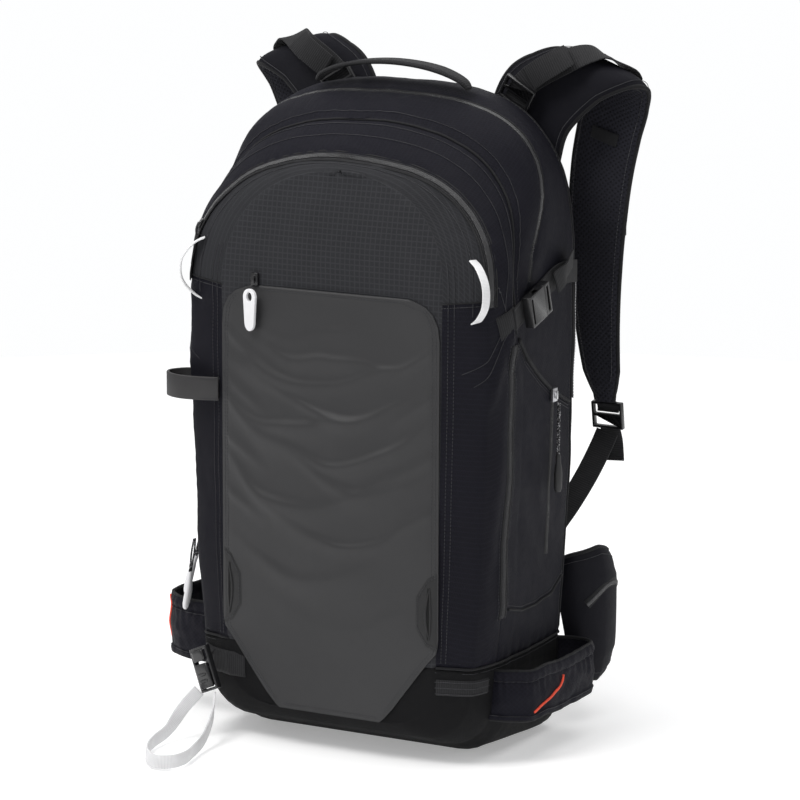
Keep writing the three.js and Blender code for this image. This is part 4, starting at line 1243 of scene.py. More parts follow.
rounded("ski_loop_buckle", "pack", "plastic", 1.0)
for tag, _ in SIDES:
    rounded(f"compression_socket_{tag}", "pack", "plastic", 1.1)
    rounded(f"compression_plug_{tag}", f"compression_plug_{tag}", "plastic", 0.5)
    rounded(f"lifter_buckle_{tag}", "back_door", "plastic", 0.8)
    rounded(f"ladder_lock_{tag}", "back_door", "plastic", 0.8)
rounded("sternum_socket", "sternum_strap", "plastic", 0.9)
rounded("sternum_plug", "sternum_plug", "plastic", 0.5)
rounded("hip_socket", "hip_belt_left", "plastic", 1.2)
rounded("hip_plug", "hip_belt_right", "plastic", 0.7)
rounded("front_slider", "front_slider", "plastic", 0.5)
rounded("front_pull", "front_pull", "white", 0.9)
rounded("side_slider_left", "side_slider", "silver", 0.5)
rounded("pocket_slider", "pocket_slider", "silver", 0.5)
rounded("inflator", "back_door", "plastic", 0.9)
rounded("trigger_handle", "trigger_handle", "red", 0.8)
rounded("gas_cylinder", "back_door", "steel", 1.0)
for node, material in (("frame_sheet", "sheet"), ("trigger_cable", "cable")):
    NODES[node].data.materials.clear()
    NODES[node].data.materials.append(MAT[material])


# ------------------------------------------------------------------ webbing and loops
def sided(rows, side):
    return [[x * side, y, z, w, t, ax * side, ay, az] for x, y, z, w, t, ax, ay, az in rows]


def edge_stitches(name, frames, body, sides, share):
    """Stitch rows near both edges of a band, on its outer (1) or inner (-1) face, for a share of it."""
    inset, lift, pitch = 1.6, 0.12, 2.8
    bag = Bag()
    n = len(frames["path"])
    low, high = int(n * share[0]), max(int(n * share[1]), int(n * share[0]) + 3)
    cut = slice(low, high)
    for face in sides:
        up = frames["outward"][cut] * face
        for s in (-1, 1):
            off = frames["across"][cut] * s * (frames["width"][cut, None] / 2 - inset * MM)
            path = frames["path"][cut] + off + up * (frames["thick"][cut, None] / 2 + lift * MM)
            stitches_into(bag, path, up, pitch=pitch * MM, length=pitch * 0.66 * MM)
    bag.piece(name, body, "thread")


def compression_straps():
    for tag, side in SIDES:
        path = [wall_point(wall_q(y), z, side, 1.6)[0] / MM for y, z in
                ((-51, 391), (-30, 396), (0, 405), (30, 416), (60, 429), (80, 438))]
        rows = [[*p, 20, 1.7, 0, -0.3, 1] for p in path]
        frames = web_piece(f"compression_strap_{tag}_web", rows, 70, "pack", "web",
                           replaces=[f"compression_strap_{tag}"], slot="black_webbing")
        face = 1 if frames["outward"][20][0] * side > 0 else -1
        edge_stitches(f"compression_strap_stitching_{tag}", frames, "pack", (face,), (0.0, 0.16))
        # the sewn front patch that holds the strap
        bag = Bag()
        patch, normals = wall_path([(-66, 384), (-56, 388), (-46, 392)], side, 0.2)
        tape_on_path(bag, patch, normals, 11.0 * MM, 1.0 * MM)
        recalc(bag.piece(f"compression_patch_{tag}", "pack", "web"))
        # the loose end past the buckle
        rows = [[x * side, y, z, 19, 1.5, 0, 0.62, 1] for x, y, z in (
            (161.5, 20, 412.5), (162.5, 34, 418), (160.5, 46, 423.5), (158.4, 58, 428.5))]
        web_piece(f"compression_tail_{tag}", rows, 24, f"compression_plug_{tag}", "web")


compression_straps()


def tool_loops():
    for tag, side in SIDES:
        # the loop stands off the shoulder along (0.86, -0.5) from its foot
        rows = [[131.0 * side + 0.86 * side * reach, -76.0 - 0.5 * reach, z, 7.4, 1.5, 0.5, 0.86 * side, 0]
                for reach, z in ((1.5, 388), (11, 393), (21, 404.5), (23.2, 415), (21, 426), (11, 438),
                                 (1.5, 443))]
        web_piece(f"tool_loop_{tag}_web", rows, 60, "pack", "white_web",
                  replaces=[f"tool_loop_{tag}"], slot="white_webbing")


tool_loops()


def ski_loops():
    """The rubberised upper loop, the webbing loop on the floor, and its tall buckle with its webbing."""
    plan = [[-112, -88.6], [-127, -93.6], [-148, -96], [-164, -88], [-169, -77], [-164, -66], [-157, -60.5],
            [-151, -58]]
    rows = [[x, y, 312, 21, 2.6, 0, 0, 1] for x, y in plan]
    frames = web_piece("ski_loop_upper_strap", rows, 90, "pack", "hypalon", rounding=0.3,
                       replaces=["ski_loop_upper"], slot="soft_rubber")
    for name, face in (("a", 1), ("b", -1)):
        edge_stitches(f"ski_loop_upper_stitching_{name}", frames, "pack", (face,), (0.0, 0.16))
    rows = [
        [-108, -105, 40], [-102, -118, 26], [-97, -140, 11], [-91, -168, 6.6], [-86, -192, 6.6],
        [-90, -207, 6.6], [-102, -212, 6.6], [-117, -201, 6.6], [-130, -180, 6.6], [-138, -156, 6.6],
        [-138, -134, 11], [-132, -118, 28], [-124, -105, 42],
    ]
    rows = [[x, y, z, 12, 1.9, 0, 0.2, 1] for x, y, z in rows]
    web_piece("ski_loop_lower_web", rows, 150, "ski_loop", "white_web", replaces=["ski_loop_lower"],
              slot="white_webbing")
    # the closed body of the tall buckle between its side bars, with two grip ridges
    along = unit(np.array([-0.42, 0.1, 1.0]))
    face = np.array([-0.25, -1.0, 0.0])
    face = unit(face - face.dot(along) * along)
    wide = np.cross(along, face)
    buckle = Bag()
    start = np.array([-114, -99.5, 42])
    for low, high, half, rise, drop in ((3.0, 25.0, 8.2, 6.2, 1.0), (27.5, 37.5, 7.0, 5.6, 1.4),
                                        (8.0, 11.0, 5.5, 7.2, 5.0), (14.0, 17.0, 5.5, 7.2, 5.0)):
        shell = []
        for t, grow in ((low, -1.2), (low + 1.2, 0.0), (high - 1.2, 0.0), (high, -1.2)):
            for a in np.linspace(0, 2 * math.pi, 24, endpoint=False):
                c, k = math.cos(a), math.sin(a)
                u = (half + grow) * math.copysign(abs(c) ** 0.4, c)
                v = (rise + drop) / 2 + ((rise - drop) / 2 + grow * 0.5) * math.copysign(abs(k) ** 0.4, k)
                shell.append((start + along * t + wide * u + face * v) * MM)
        buckle.put(shell, grid_faces(4, 24, wrap=True) + [tuple(range(24)), tuple(range(72, 96))[::-1]])
    recalc(buckle.piece("ski_loop_buckle_body", "pack", "plastic"))
    # webbing from the tall buckle along the base to under the coated panel
    bag = Bag()
    line = [wall_point(q, 66, -1, 0.5) for q in np.linspace(0.75, 0.02, 24)]
    line += [(np.array([x, -88.4, 66]) * MM, np.array([0, -1.0, 0])) for x in np.linspace(-102, -86, 8)]
    tape_on_path(bag, *unzip(line), 11.0 * MM, 1.2 * MM)
    recalc(bag.piece("base_webbing_left", "pack", "web"))


ski_loops()


def grab_handle():
    rows = [[x, 22, z, w, 3.4, 0, 1, 0] for x, z, w in (
        (-75, 574.5, 9), (-70, 580, 14), (-46, 589.5, 20), (0, 594.5, 20), (46, 589.5, 20), (70, 580, 14),
        (75, 574.5, 9))]
    frames = web_piece("grab_handle_web", rows, 90, "grab_handle", "web", replaces=["grab_handle"],
                       slot="black_webbing")
    edge_stitches("grab_handle_stitching", frames, "grab_handle", (1, -1), (0.04, 0.96))


grab_handle()


# ------------------------------------------------------------------ shoulder straps
# inboard edge x, y, z, outboard edge x, y, z and thickness down the right strap, in mm
STRAP_EDGES = [
    [54, 101, 528, 120, 101, 478, 11], [60, 101, 562, 124, 101, 512, 12],
    [72, 103, 584, 132, 101, 534, 12], [92, 108, 597, 160, 106, 562, 13],
    [114, 117, 603, 190, 112, 574, 14], [128, 128, 597, 197, 124, 570, 14],
    [130, 137, 578, 191, 135, 552, 14], [124, 140, 545, 182, 139, 525, 13],
    [117, 140, 505, 175, 140, 495, 13], [114, 140, 455, 169, 140, 452, 12],
    [116, 140, 405, 165, 140, 405, 12], [122, 141, 355, 163, 141, 355, 11],
    [129, 143, 315, 163, 143, 315, 10], [138, 146, 294, 158, 146, 294, 9],
    [139, 147, 287, 157, 147, 287, 8],
]


STRAP = [[(x0 + x1) / 2, (y0 + y1) / 2, (z0 + z1) / 2, math.dist((x0, y0, z0), (x1, y1, z1)), thick,
          x1 - x0, y1 - y0, z1 - z0] for x0, y0, z0, x1, y1, z1, thick in STRAP_EDGES]
STRAP_DENSE = 230


def pad_profile(frames, crown, waves, points, seed):
    """A padded section: crowned faces, pinched bound edges, soft creases that differ along the length."""
    def ring(width, thick, index):
        w, h = width / 2, thick / 2
        out = []
        for k in range(points):
            a = 2 * math.pi * k / points
            c, s = math.cos(a), math.sin(a)
            u = w * math.copysign(abs(c) ** 0.55, c)
            edge = (1 - abs(u / w) ** 6) ** 0.5 if abs(u) < w else 0.0
            v = h * math.copysign(abs(s) ** 0.7, s) * (0.30 + 0.70 * edge)
            p = frames["path"][index] / MM
            crease = noise.noise(Vector((p[0] / 26 + seed, p[1] / 20 + u * 26, p[2] / 13)))
            fine = noise.noise(Vector((p[0] / 9 + seed, u * 60, p[2] / 6)))
            v += math.copysign(1, s) * (crown * edge * MM + crease * waves * MM * edge
                                        + fine * waves * 0.35 * MM * edge)
            out.append((u, v))
        return out
    return ring


def pad_lift(inset, width, thick):
    """Height of a pad's face above its middle plane, this far in from its edge; all in metres."""
    share = 1 - inset / (width / 2)
    rise = (1 - share ** 3.64) ** 0.35
    return thick / 2 * rise * (0.30 + 0.70 * (1 - share ** 6) ** 0.5) + 0.7 * MM


def shoulder_straps():
    for tag, side in SIDES:
        frames = frames_of(sided(STRAP, side), STRAP_DENSE, ruled=True)
        points = 36
        verts, faces, uv = sweep(frames, pad_profile(frames, -0.5, 0.7, points, seed=side * 3.0))
        outer = frames["outward"][STRAP_DENSE - 40][1]
        ids = []
        for face in faces:
            if len(face) > 4:
                ids.append(0)
                continue
            wraps = face[1] % points == 0 and face[0] % points == points - 1
            k = np.mean([0 if wraps and i in (1, 2) else v % points for i, v in enumerate(face)])
            upper = k < points / 2
            ids.append(0 if upper == (outer > 0) else 1)
        piece = make(f"shoulder_strap_{tag}_pad", verts, faces, "back_door", ["strap", "mesh"], uv=uv,
                     ids=ids, replaces=[f"shoulder_strap_{tag}"], slot="spacer_mesh")
        recalc(piece)
        binding, threads = Bag(), Bag()
        for s in (-1, 1):
            rim = frames["path"] + frames["across"] * s * (frames["width"][:, None] / 2 - 0.6 * MM)
            tube_into(binding, rim[2:-2], 2.1 * MM, sides=8)
            for face in (-1, 1):
                up = frames["outward"] * face
                row = frames["path"] + frames["across"] * s * (frames["width"][:, None] / 2 - 4.6 * MM)
                row = row + up * pad_lift(4.6 * MM, frames["width"], frames["thick"])[:, None]
                stitches_into(threads, row[4:-28], up[4:-28])
        recalc(binding.piece(f"shoulder_strap_{tag}_binding", "back_door", "binding"))
        threads.piece(f"shoulder_strap_{tag}_stitching", "back_door", "thread")
        # a small sewn tab on the mesh side
        at = int(STRAP_DENSE * 0.52)
        inner = -1 if outer > 0 else 1
        centre = frames["path"][at] + frames["outward"][at] * inner * (frames["thick"][at] / 2 + 0.9 * MM)
        rows = [[*(centre + frames["across"][at] * u * MM + frames["outward"][at] * inner * lift * MM) / MM,
                 11, 1.2, *frames["tangent"][at]]
                for u, lift in ((-13, -0.4), (-10, 0.5), (0, 1.0), (10, 0.5), (13, -0.4))]
        web_piece(f"shoulder_strap_{tag}_tab", rows, 20, "back_door", "binding")


shoulder_straps()


def strap_point(t, u, lift, side):
    """A point on the outer face of a shoulder strap: t along it, u outboard in mm, lift above it in mm."""
    at = t * STRAP_DENSE
    i = min(int(at), STRAP_DENSE - 1)
    f = at - i
    blend = {k: STRAP_FRAMES[k][i] * (1 - f) + STRAP_FRAMES[k][i + 1] * f
             for k in ("path", "across", "outward", "thick")}
    out = blend["outward"] * OUTER_SIGN
    p = blend["path"] + blend["across"] * u * MM + out * (blend["thick"] / 2 + lift * MM)
    return p * (side, 1, 1), blend["across"] * (side, 1, 1), out * (side, 1, 1)


STRAP_FRAMES = frames_of(STRAP, STRAP_DENSE, ruled=True)
OUTER_SIGN = float(np.sign(STRAP_FRAMES["outward"][STRAP_DENSE - 40][1]))


def load_lifters():
    """Lifter webbing from the panel's top edge through its buckle to a sewn end on the strap's crest."""
    for tag, side in SIDES:
        rows = [[80, 90.2, 532], [85, 90, 556], [96, 88.5, 574]]
        rows = [[x * side, y, z, 24, 1.5, 0.75 * side, 0, -0.66] for x, y, z in rows]
        for t, u, lift in ((0.25, -10, 9.4), (0.29, -6, 5.4), (0.325, 2, 2.4), (0.36, 8, 2.2),
                           (0.385, 11, 2.4)):
            p, across, _ = strap_point(t, u, lift, side)
            rows.append([*(p / MM), 24, 1.5, *across])
        frames = web_piece(f"load_lifter_{tag}_web", rows, 110, "back_door", "web",
                           replaces=[f"load_lifter_{tag}"], slot="black_webbing")
        up = 1 if frames["outward"][90].dot(strap_point(0.35, 8, 0, side)[2]) > 0 else -1
        edge_stitches(f"load_lifter_stitching_{tag}", frames, "back_door", (up,), (0.66, 0.97))
        # the folded loose end above the buckle
        rows = []
        for k, lift in enumerate((6.2, 8.4, 9.2, 8.2)):
            i = 34 + k * 5
            p = frames["path"][i] + frames["outward"][i] * up * lift * MM
            rows.append([*(p / MM), 22, 1.4, *frames["across"][i]])
        web_piece(f"load_lifter_tail_{tag}", rows, 24, "back_door", "web")


load_lifters()


def lower_webbing():
    for tag, side in SIDES:
        points = [[148, 152.5, 258], [145, 147, 246], [139, 131, 222], [131, 111, 197], [122.4, 94.6, 177]]
        rows = sided([[x, y, z, 21.5, 1.7, 0.97, 0, -0.25] for x, y, z in points], side)
        web_piece(f"strap_webbing_{tag}_web", rows, 80, "back_door", "web",
                  replaces=[f"strap_webbing_{tag}"], slot="black_webbing")
        # the loop of webbing round the top bar of the ladder lock, and the loose tail
        rows = sided([[148, 147.0, 287, 22, 1.4, 1, 0, 0], [148.6, 150.4, 284.2, 22, 1.4, 1, 0, 0],
                      [149, 152.4, 280, 22, 1.4, 1, 0, 0], [149, 151.2, 276.4, 21, 1.4, 1, 0, 0]], side)
        web_piece(f"ladder_loop_{tag}", rows, 24, "back_door", "web")
        rows = sided([[148.6, 156.6, 262, 20, 1.5, 1, 0, 0], [149, 161.5, 250, 20, 1.5, 1, 0, 0],
                      [149.5, 163.0, 238, 20, 1.5, 1, 0, 0], [150, 163.0, 230, 20, 1.5, 1, 0, 0.1]], side)
        web_piece(f"strap_tail_{tag}", rows, 36, "back_door", "web")


lower_webbing()


def sternum():
    for tag, side, body in (("left", -1, "sternum_strap"), ("right", 1, "sternum_plug")):
        inner = 22.6 if side < 0 else 11
        rows = [[x * side, 149.6, 446, 18, 1.6, 0, 0, 1] for x in np.linspace(inner, 165, 6)]
        frames = web_piece(f"sternum_webbing_{tag}_web", rows, 60, body, "web",
                           replaces=[f"sternum_webbing_{tag}"], slot="black_webbing")
        edge_stitches(f"sternum_stitching_{tag}", frames, body, (1, -1), (0.88, 0.99))


sternum()


# ------------------------------------------------------------------ ski sleeves
# plan: (x, y) from front to back; z: middle height; line: (y, z) of the coloured piping; all in mm
SLEEVES = {
    1: {"plan": [[136, -48], [154, -44], [166, -34], [171, -12], [172, 20], [172, 55], [170, 80], [160, 91],
                 [132, 84]],
        "z": 60, "height": 44, "line": [(18, 67.5), (14, 61), (-6, 53), (-30, 44.5)]},
    -1: {"plan": [[136, -40], [158, -42], [184, -36], [202, -22], [207, 0], [202, 26], [190, 54], [170, 80],
                  [132, 84]],
         "z": 78, "height": 54, "line": [(-24, 103), (-24, 92), (-20, 78), (-14, 56)]},
}
SLEEVE_ROWS = 34  # points from the bottom of a sleeve to its top


def sleeve_band(frames, side, seed):
    """Elastic sleeve cloth: a folded hem at the top, a sewn fold at the bottom, and soft gathers between."""
    def ring(width, thick, index):
        out, back = [], []
        t = frames["t"][index]
        p = frames["path"][index] / MM
        ends = min(1.0, min(t, 1 - t) * 14)
        for s in np.linspace(-0.5, 0.5, SLEEVE_ROWS):
            v = s * width / MM
            top = width / MM / 2 - v
            bottom = v + width / MM / 2
            hem = 1.2 * math.exp(-((top - 4.2) / 4.0) ** 4) - 0.9 * math.exp(-((top - 9.6) / 1.1) ** 2)
            low = 0.7 * math.exp(-((bottom - 2.6) / 2.8) ** 4) - 0.6 * math.exp(-((bottom - 6.0) / 1.0) ** 2)
            belly = 1.6 * math.sin(math.pi * (s + 0.5)) * ends
            gather = 0.5 * math.sin(t * 150 + v * 0.10 + seed) * math.exp(-((top - 12) / 9.0) ** 2)
            soft = 1.5 * noise.noise(Vector((p[0] / 18 + seed, p[1] / 16, v / 13)))
            soft += 0.6 * noise.noise(Vector((p[0] / 7 + seed, p[1] / 6, v / 8)))
            lift = hem + low + belly + (gather + soft) * ends
            wobble = 1.4 * noise.noise(Vector((p[0] / 30 + seed, p[1] / 22, 0))) * ends
            out.append(((v + wobble) * MM, side * (thick / 2 + lift * MM)))
            back.append(((v + wobble) * MM, side * (-thick / 2 + lift * 0.8 * MM)))
        return out + back[::-1]
    return ring


def sleeves():
    for side, spec in SLEEVES.items():
        tag = "right" if side > 0 else "left"
        rows = [[x * side, y, spec["z"], spec["height"], 2.2, 0, 0, 1] for x, y in spec["plan"]]
        frames = frames_of(rows, 150)
        verts, faces, uv = sweep(frames, sleeve_band(frames, side, 3.0 + side))
        piece = make(f"ski_sleeve_{tag}_cloth", verts, faces, "pack", "side", uv=uv,
                     replaces=[f"ski_sleeve_{tag}"], slot="outer_fabric")
        recalc(piece)
        ring = len(verts) // len(frames["path"])
        grid = np.array(verts).reshape(len(frames["path"]), ring, 3)[:, :SLEEVE_ROWS]
        outward = frames["outward"] * side
        threads = Bag()
        for share in (0.79, 0.10):
            k = int(round(share * (SLEEVE_ROWS - 1)))
            stitches_into(threads, grid[2:-2, k] + outward[2:-2] * 0.2 * MM, outward[2:-2])
        binding = Bag()
        for k in (0, SLEEVE_ROWS - 1):
            tube_into(binding, grid[1:-1, k] - outward[1:-1] * 1.2 * MM, 1.5 * MM)
        recalc(binding.piece(f"ski_sleeve_{tag}_hem", "pack", "binding"))
        threads.piece(f"ski_sleeve_{tag}_stitching", "pack", "thread")
        # the coloured piping line on the outer face
        flat_y, flat_z = grid[..., 1], grid[..., 2]
        outer_face = np.abs(grid[:, 17, 0]) > 0.150
        line = []
        dense = resample(np.array([(y, 0, z) for y, z in spec["line"]]) * MM, 1.5 * MM)
        for y, _, z in dense:
            d = (flat_y - y) ** 2 + (flat_z - z) ** 2 + (~outer_face)[:, None] * 1.0
            close = np.argsort(d.ravel())[:6]
            w = 1 / (d.ravel()[close] + 1e-8)
            x = (grid[..., 0].ravel()[close] * w).sum() / w.sum()
            line.append((x + side * 0.5 * MM, y, z))
        line = resample(np.array(line), 2.0 * MM)
        for _ in range(3):
            line[1:-1] = (line[:-2] + 2 * line[1:-1] + line[2:]) / 4
        bag = Bag()
        tube_into(bag, line, 1.15 * MM)
        recalc(bag.piece(f"ski_sleeve_{tag}_piping", "pack", "orange"))


sleeves()


# ------------------------------------------------------------------ side pocket, base zip, back-edge details
def side_details():
    """The right side pocket's curved edge and zip, its lower edge, and the stitched folds on both sides."""
    edge, threads, coil, tape = Bag(), Bag(), Bag(), Bag()
    curve = [(-38, 372), (-20, 352), (4, 334), (30, 318), (52, 308), (70, 300)]
    tube_into(edge, wall_path(curve, 1, 0.9, 2.5)[0], 1.7 * MM)
    for drop in (3.6, 6.4):
        stitches_into(threads, *wall_path([(y, z - drop) for y, z in curve], 1, 0.25, 2.5))
    low = [(-38, 135), (-10, 128), (20, 127), (50, 132), (74, 142)]
    tube_into(edge, wall_path(low, 1, 0.5, 2.5)[0], 1.1 * MM)
    stitches_into(threads, *wall_path([(y, z + 3.4) for y, z in low], 1, 0.25, 2.5))
    for side in (1, -1):
        for a, b in (((-60, 384), (-83, 346)), ((-58, 378), (-80, 336)), ((-58, 396), (-76, 440))):
            stitches_into(threads, *wall_path([a, b], side, 0.25, 2.0))
    upright, up = wall_path([(36, 312), (35, 240), (34, 170)], 1, -0.3)
    tape_on_path(tape, upright, up, 4.4 * MM, 0.5 * MM)
    coil_into(coil, upright, up, 3.2 * MM, height=0.5 * MM, lift=0.35 * MM)
    recalc(edge.piece("side_pocket_edge", "pack", "binding"))
    recalc(tape.piece("pocket_zip_tape", "pack", "tape"))
    coil.piece("pocket_zip_coil", "pack", "teeth")
    threads.piece("side_stitching", "pack", "thread")


side_details()


def base_details():
    """A flat woven band round the foot of the front and the stitching that holds it."""
    tape, threads = Bag(), Bag()
    path, normals = unzip([wall_point(q, 71, 1, 0.4) for q in np.linspace(1.6, 0.03, 30)])
    tape_on_path(tape, path, normals, 7.0 * MM, 0.9 * MM)
    cross = unit(np.cross(tangents(path), normals))
    for s in (-5.2, 0.0, 5.2):
        stitches_into(threads, path + cross * s * MM, normals, lift=1.0 * MM)
    recalc(tape.piece("base_band", "pack", "web"))
    threads.piece("base_band_stitching", "pack", "thread")


base_details()


# ------------------------------------------------------------------ pads and panels of the back
def dense_outline(spec, step):
    return resample(np.array(door_outline(spec=spec)), step, closed=True)


def pad_piece(name, spec, y0, depth, edge, body, material, relief, replaces, slot, back=0.0):
    """A stuffed pad off the plane y0, with an edge rounded over `edge` mm and relief(x, z) on its face.

    Returns its outline.
    """
    outline = np.array(door_outline(spec=spec))
    dense = dense_outline(spec, 5.0)
    centre = np.array([0.0, (outline[:, 1].min() + outline[:, 1].max()) / 2])
    reach = np.linalg.norm(dense - centre, axis=1)
    verts, uv = [], []
    shares = np.concatenate([[1.0], 1 - 0.16 * np.linspace(0, 1, 12)[1:] ** 1.4,
                             np.linspace(0.84, 0.04, 40)[1:]])
    for share in shares:
        p = centre + (dense - centre) * share
        inset = reach * (1 - share)
        t = np.clip(inset / edge, 0, 1)
        rise = (1 - (1 - t) ** 2) ** 0.5
        y = y0 + depth * rise + (np.array([relief(x, z) for x, z in p])
                                 * smooth_step(inset, edge * 0.5, edge * 1.6))
        verts += [(x * MM, v * MM, z * MM) for (x, z), v in zip(p, y)]
        uv += [(x * MM, z * MM) for x, z in p]
    n = len(dense)
    faces = grid_faces(len(shares), n, wrap=True)
    faces.append(tuple(range((len(shares) - 1) * n, len(shares) * n)))
    base = len(verts)
    verts += [(x * MM, (y0 - back) * MM, z * MM) for x, z in dense]
    uv += [(x * MM, z * MM) for x, z in dense]
    faces += [(k, (k + 1) % n, base + (k + 1) % n, base + k) for k in range(n)]
    faces.append(tuple(range(base, base + n)))
    piece = make(name, verts, faces, body, material, uv=uv, replaces=replaces, slot=slot)
    recalc(piece)
    piece.data.set_sharp_from_angle(angle=math.radians(60))
    return dense


def quilt(x, z):
    """Moulded channels: a central spine channel and chevron grooves across the pad."""
    spine = -5.2 * math.exp(-(x / 9.0) ** 4)
    chevron = (z - abs(x) * 0.42) / 46.0
    groove = -3.4 * math.exp(-((chevron - round(chevron)) * 46.0 / 4.2) ** 2) * (abs(x) > 8)
    side = -3.0 * math.exp(-((abs(x) - 58.0) / 4.5) ** 2)
    soft = 0.7 * noise.noise(Vector((x / 26, z / 26, 3.3)))
    return max(spine, -5.2) + groove + side * 0.6 + soft


def flat_quilt(x, z):
    return 0.12 * noise.noise(Vector((x / 22, z / 22, 9.1)))


def lumbar_relief(x, z):
    groove = -3.2 * math.exp(-(x / 6.0) ** 2) - 2.2 * math.exp(-((abs(x) - 62.0) / 4.0) ** 2)
    return groove + 0.9 * noise.noise(Vector((x / 20, z / 20, 6.6)))


def back_pieces():
    pad_piece("back_panel_cloth", DOOR, 84.6, 87.4 - 84.6, 3.0, "back_door", "side", flat_quilt,
              ["back_panel"], "spacer_mesh", back=1.0)
    wide = {"half": 91, "low": 187, "top": 463, "corner": 28, "shoulder": 330, "power": 2.8}
    ring = pad_piece("back_pad_foam", wide, 87.9, 11.9, 9.0, "back_door", "foam", quilt, ["back_pad"],
                     "spacer_mesh")
    lumbar = {"half": 126.5, "low": 33.5, "top": 155.5, "corner": 30, "shoulder": 96, "power": 3}
    y_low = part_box("lumbar_pad")[0][1] / MM
    lumbar_ring = pad_piece("lumbar_pad_foam", lumbar, y_low, 16.2, 13.0, "pack", "foam", lumbar_relief,
                            ["lumbar_pad"], "spacer_mesh")
    edge, threads = Bag(), Bag()
    path = np.array([(x * MM, 88.6 * MM, z * MM) for x, z in ring])
    tube_into(edge, path, 1.6 * MM, closed=True)
    # stitches on the back panel, 5 mm outside the pad
    grown = path + unit((path - path.mean(0)) * (1, 0, 1)) * 5.0 * MM
    grown[:, 1] = 0.08755
    stitches_into(threads, grown, np.tile((0.0, 1.0, 0.0), (len(path), 1)), closed=True)
    recalc(edge.piece("back_pad_binding", "back_door", "binding"))
    threads.piece("back_pad_stitching", "back_door", "thread")
    edge = Bag()
    path = np.array([(x * MM, (y_low + 1.5) * MM, z * MM) for x, z in lumbar_ring])
    tube_into(edge, path, 1.7 * MM, closed=True)
    recalc(edge.piece("lumbar_pad_binding", "pack", "binding"))


back_pieces()


def back_zip():
    """The zip round the back panel on the rim of the shell."""
    outline = np.array(door_outline(5.6))
    loop = resample(np.array([(x * MM, 0.0877, z * MM) for x, z in outline]), 3.0 * MM, closed=True)
    path = np.vstack([loop, loop[:1]])
    normals = np.tile((0.0, 1.0, 0.0), (len(path), 1))
    tape, coil, threads = Bag(), Bag(), Bag()
    tape_on_path(tape, path, normals, 4.2 * MM, 0.9 * MM)
    coil_into(coil, path, normals, 3.8 * MM, height=0.8 * MM, lift=0.85 * MM)
    cross = unit(np.cross(tangents(path), normals))
    for s in (1, -1):
        stitches_into(threads, path + cross * s * 3.2 * MM, normals, lift=0.8 * MM)
    recalc(tape.piece("back_zip", "pack", "tape", replaces=["back_zipper"], slot="zip_tape"))
    coil.piece("back_zip_coil", "pack", "teeth")
    threads.piece("back_zip_stitching", "pack", "thread")


back_zip()


def folded_airbag():
    """The airbag folded to and fro in its pocket at the top of the pack."""
    spec = {"half": 117.5, "low": 455.5, "top": 546.5, "corner": 12, "shoulder": 492, "power": 3}
    dense = dense_outline(spec, 4.0)
    centre = np.array([0.0, 498.0])
    n = len(dense)
    verts, uv = [], []
    levels = np.linspace(-9.0, 49.0, 60)
    for y in levels:
        t = (y - levels[0]) / (levels[-1] - levels[0])
        pleat = 2.6 * abs(math.sin(t * math.pi * 7)) ** 0.6
        round_end = 5.0 * (1 - math.sin(math.pi * min(max(t, 0.0), 1.0)) ** 0.35)
        for k, (x, z) in enumerate(dense):
            out = unit(np.array([x, z]) - centre)
            wave = 0.9 * noise.noise(Vector((x / 24, z / 24, y / 9)))
            p = np.array([x, z]) - out * (3.4 - pleat + round_end - wave)
            verts.append((p[0] * MM, y * MM, p[1] * MM))
            uv.append((k * 4.0 * MM, y * MM))
    faces = grid_faces(len(levels), n, wrap=True)
    for level, sign in ((0, -1), (len(levels) - 1, 1)):
        ring = list(range(level * n, level * n + n))
        previous = ring
        for share in (0.8, 0.6, 0.4, 0.2):
            start = len(verts)
            for k in range(n):
                x, _, z = np.array(verts[ring[k]]) / MM
                px, pz = x * share, centre[1] + (z - centre[1]) * share
                swell = sign * (1.2 * (1 - share) * abs(math.sin(pz / 7.0)))
                verts.append((px * MM, (levels[level] + swell) * MM, pz * MM))
                uv.append((px * MM, pz * MM))
            current = list(range(start, start + n))
            faces += [(previous[k], previous[(k + 1) % n], current[(k + 1) % n], current[k])
                      for k in range(n)]
            previous = current
        faces.append(tuple(previous))
    piece = make("airbag_folded", verts, faces, "pack", "airbag", uv=uv, replaces=["airbag_packed"],
                 slot="airbag_fabric")
    recalc(piece)


folded_airbag()


# ------------------------------------------------------------------ hip belt
WING = [
    [131, 102, 94, 104, 11], [146, 107, 97, 118, 13], [154, 124, 98, 124, 18], [152, 146, 97, 110, 18],
    [137, 167, 96, 90, 14], [115, 184, 95, 72, 10], [95, 195, 95, 58, 9],
]


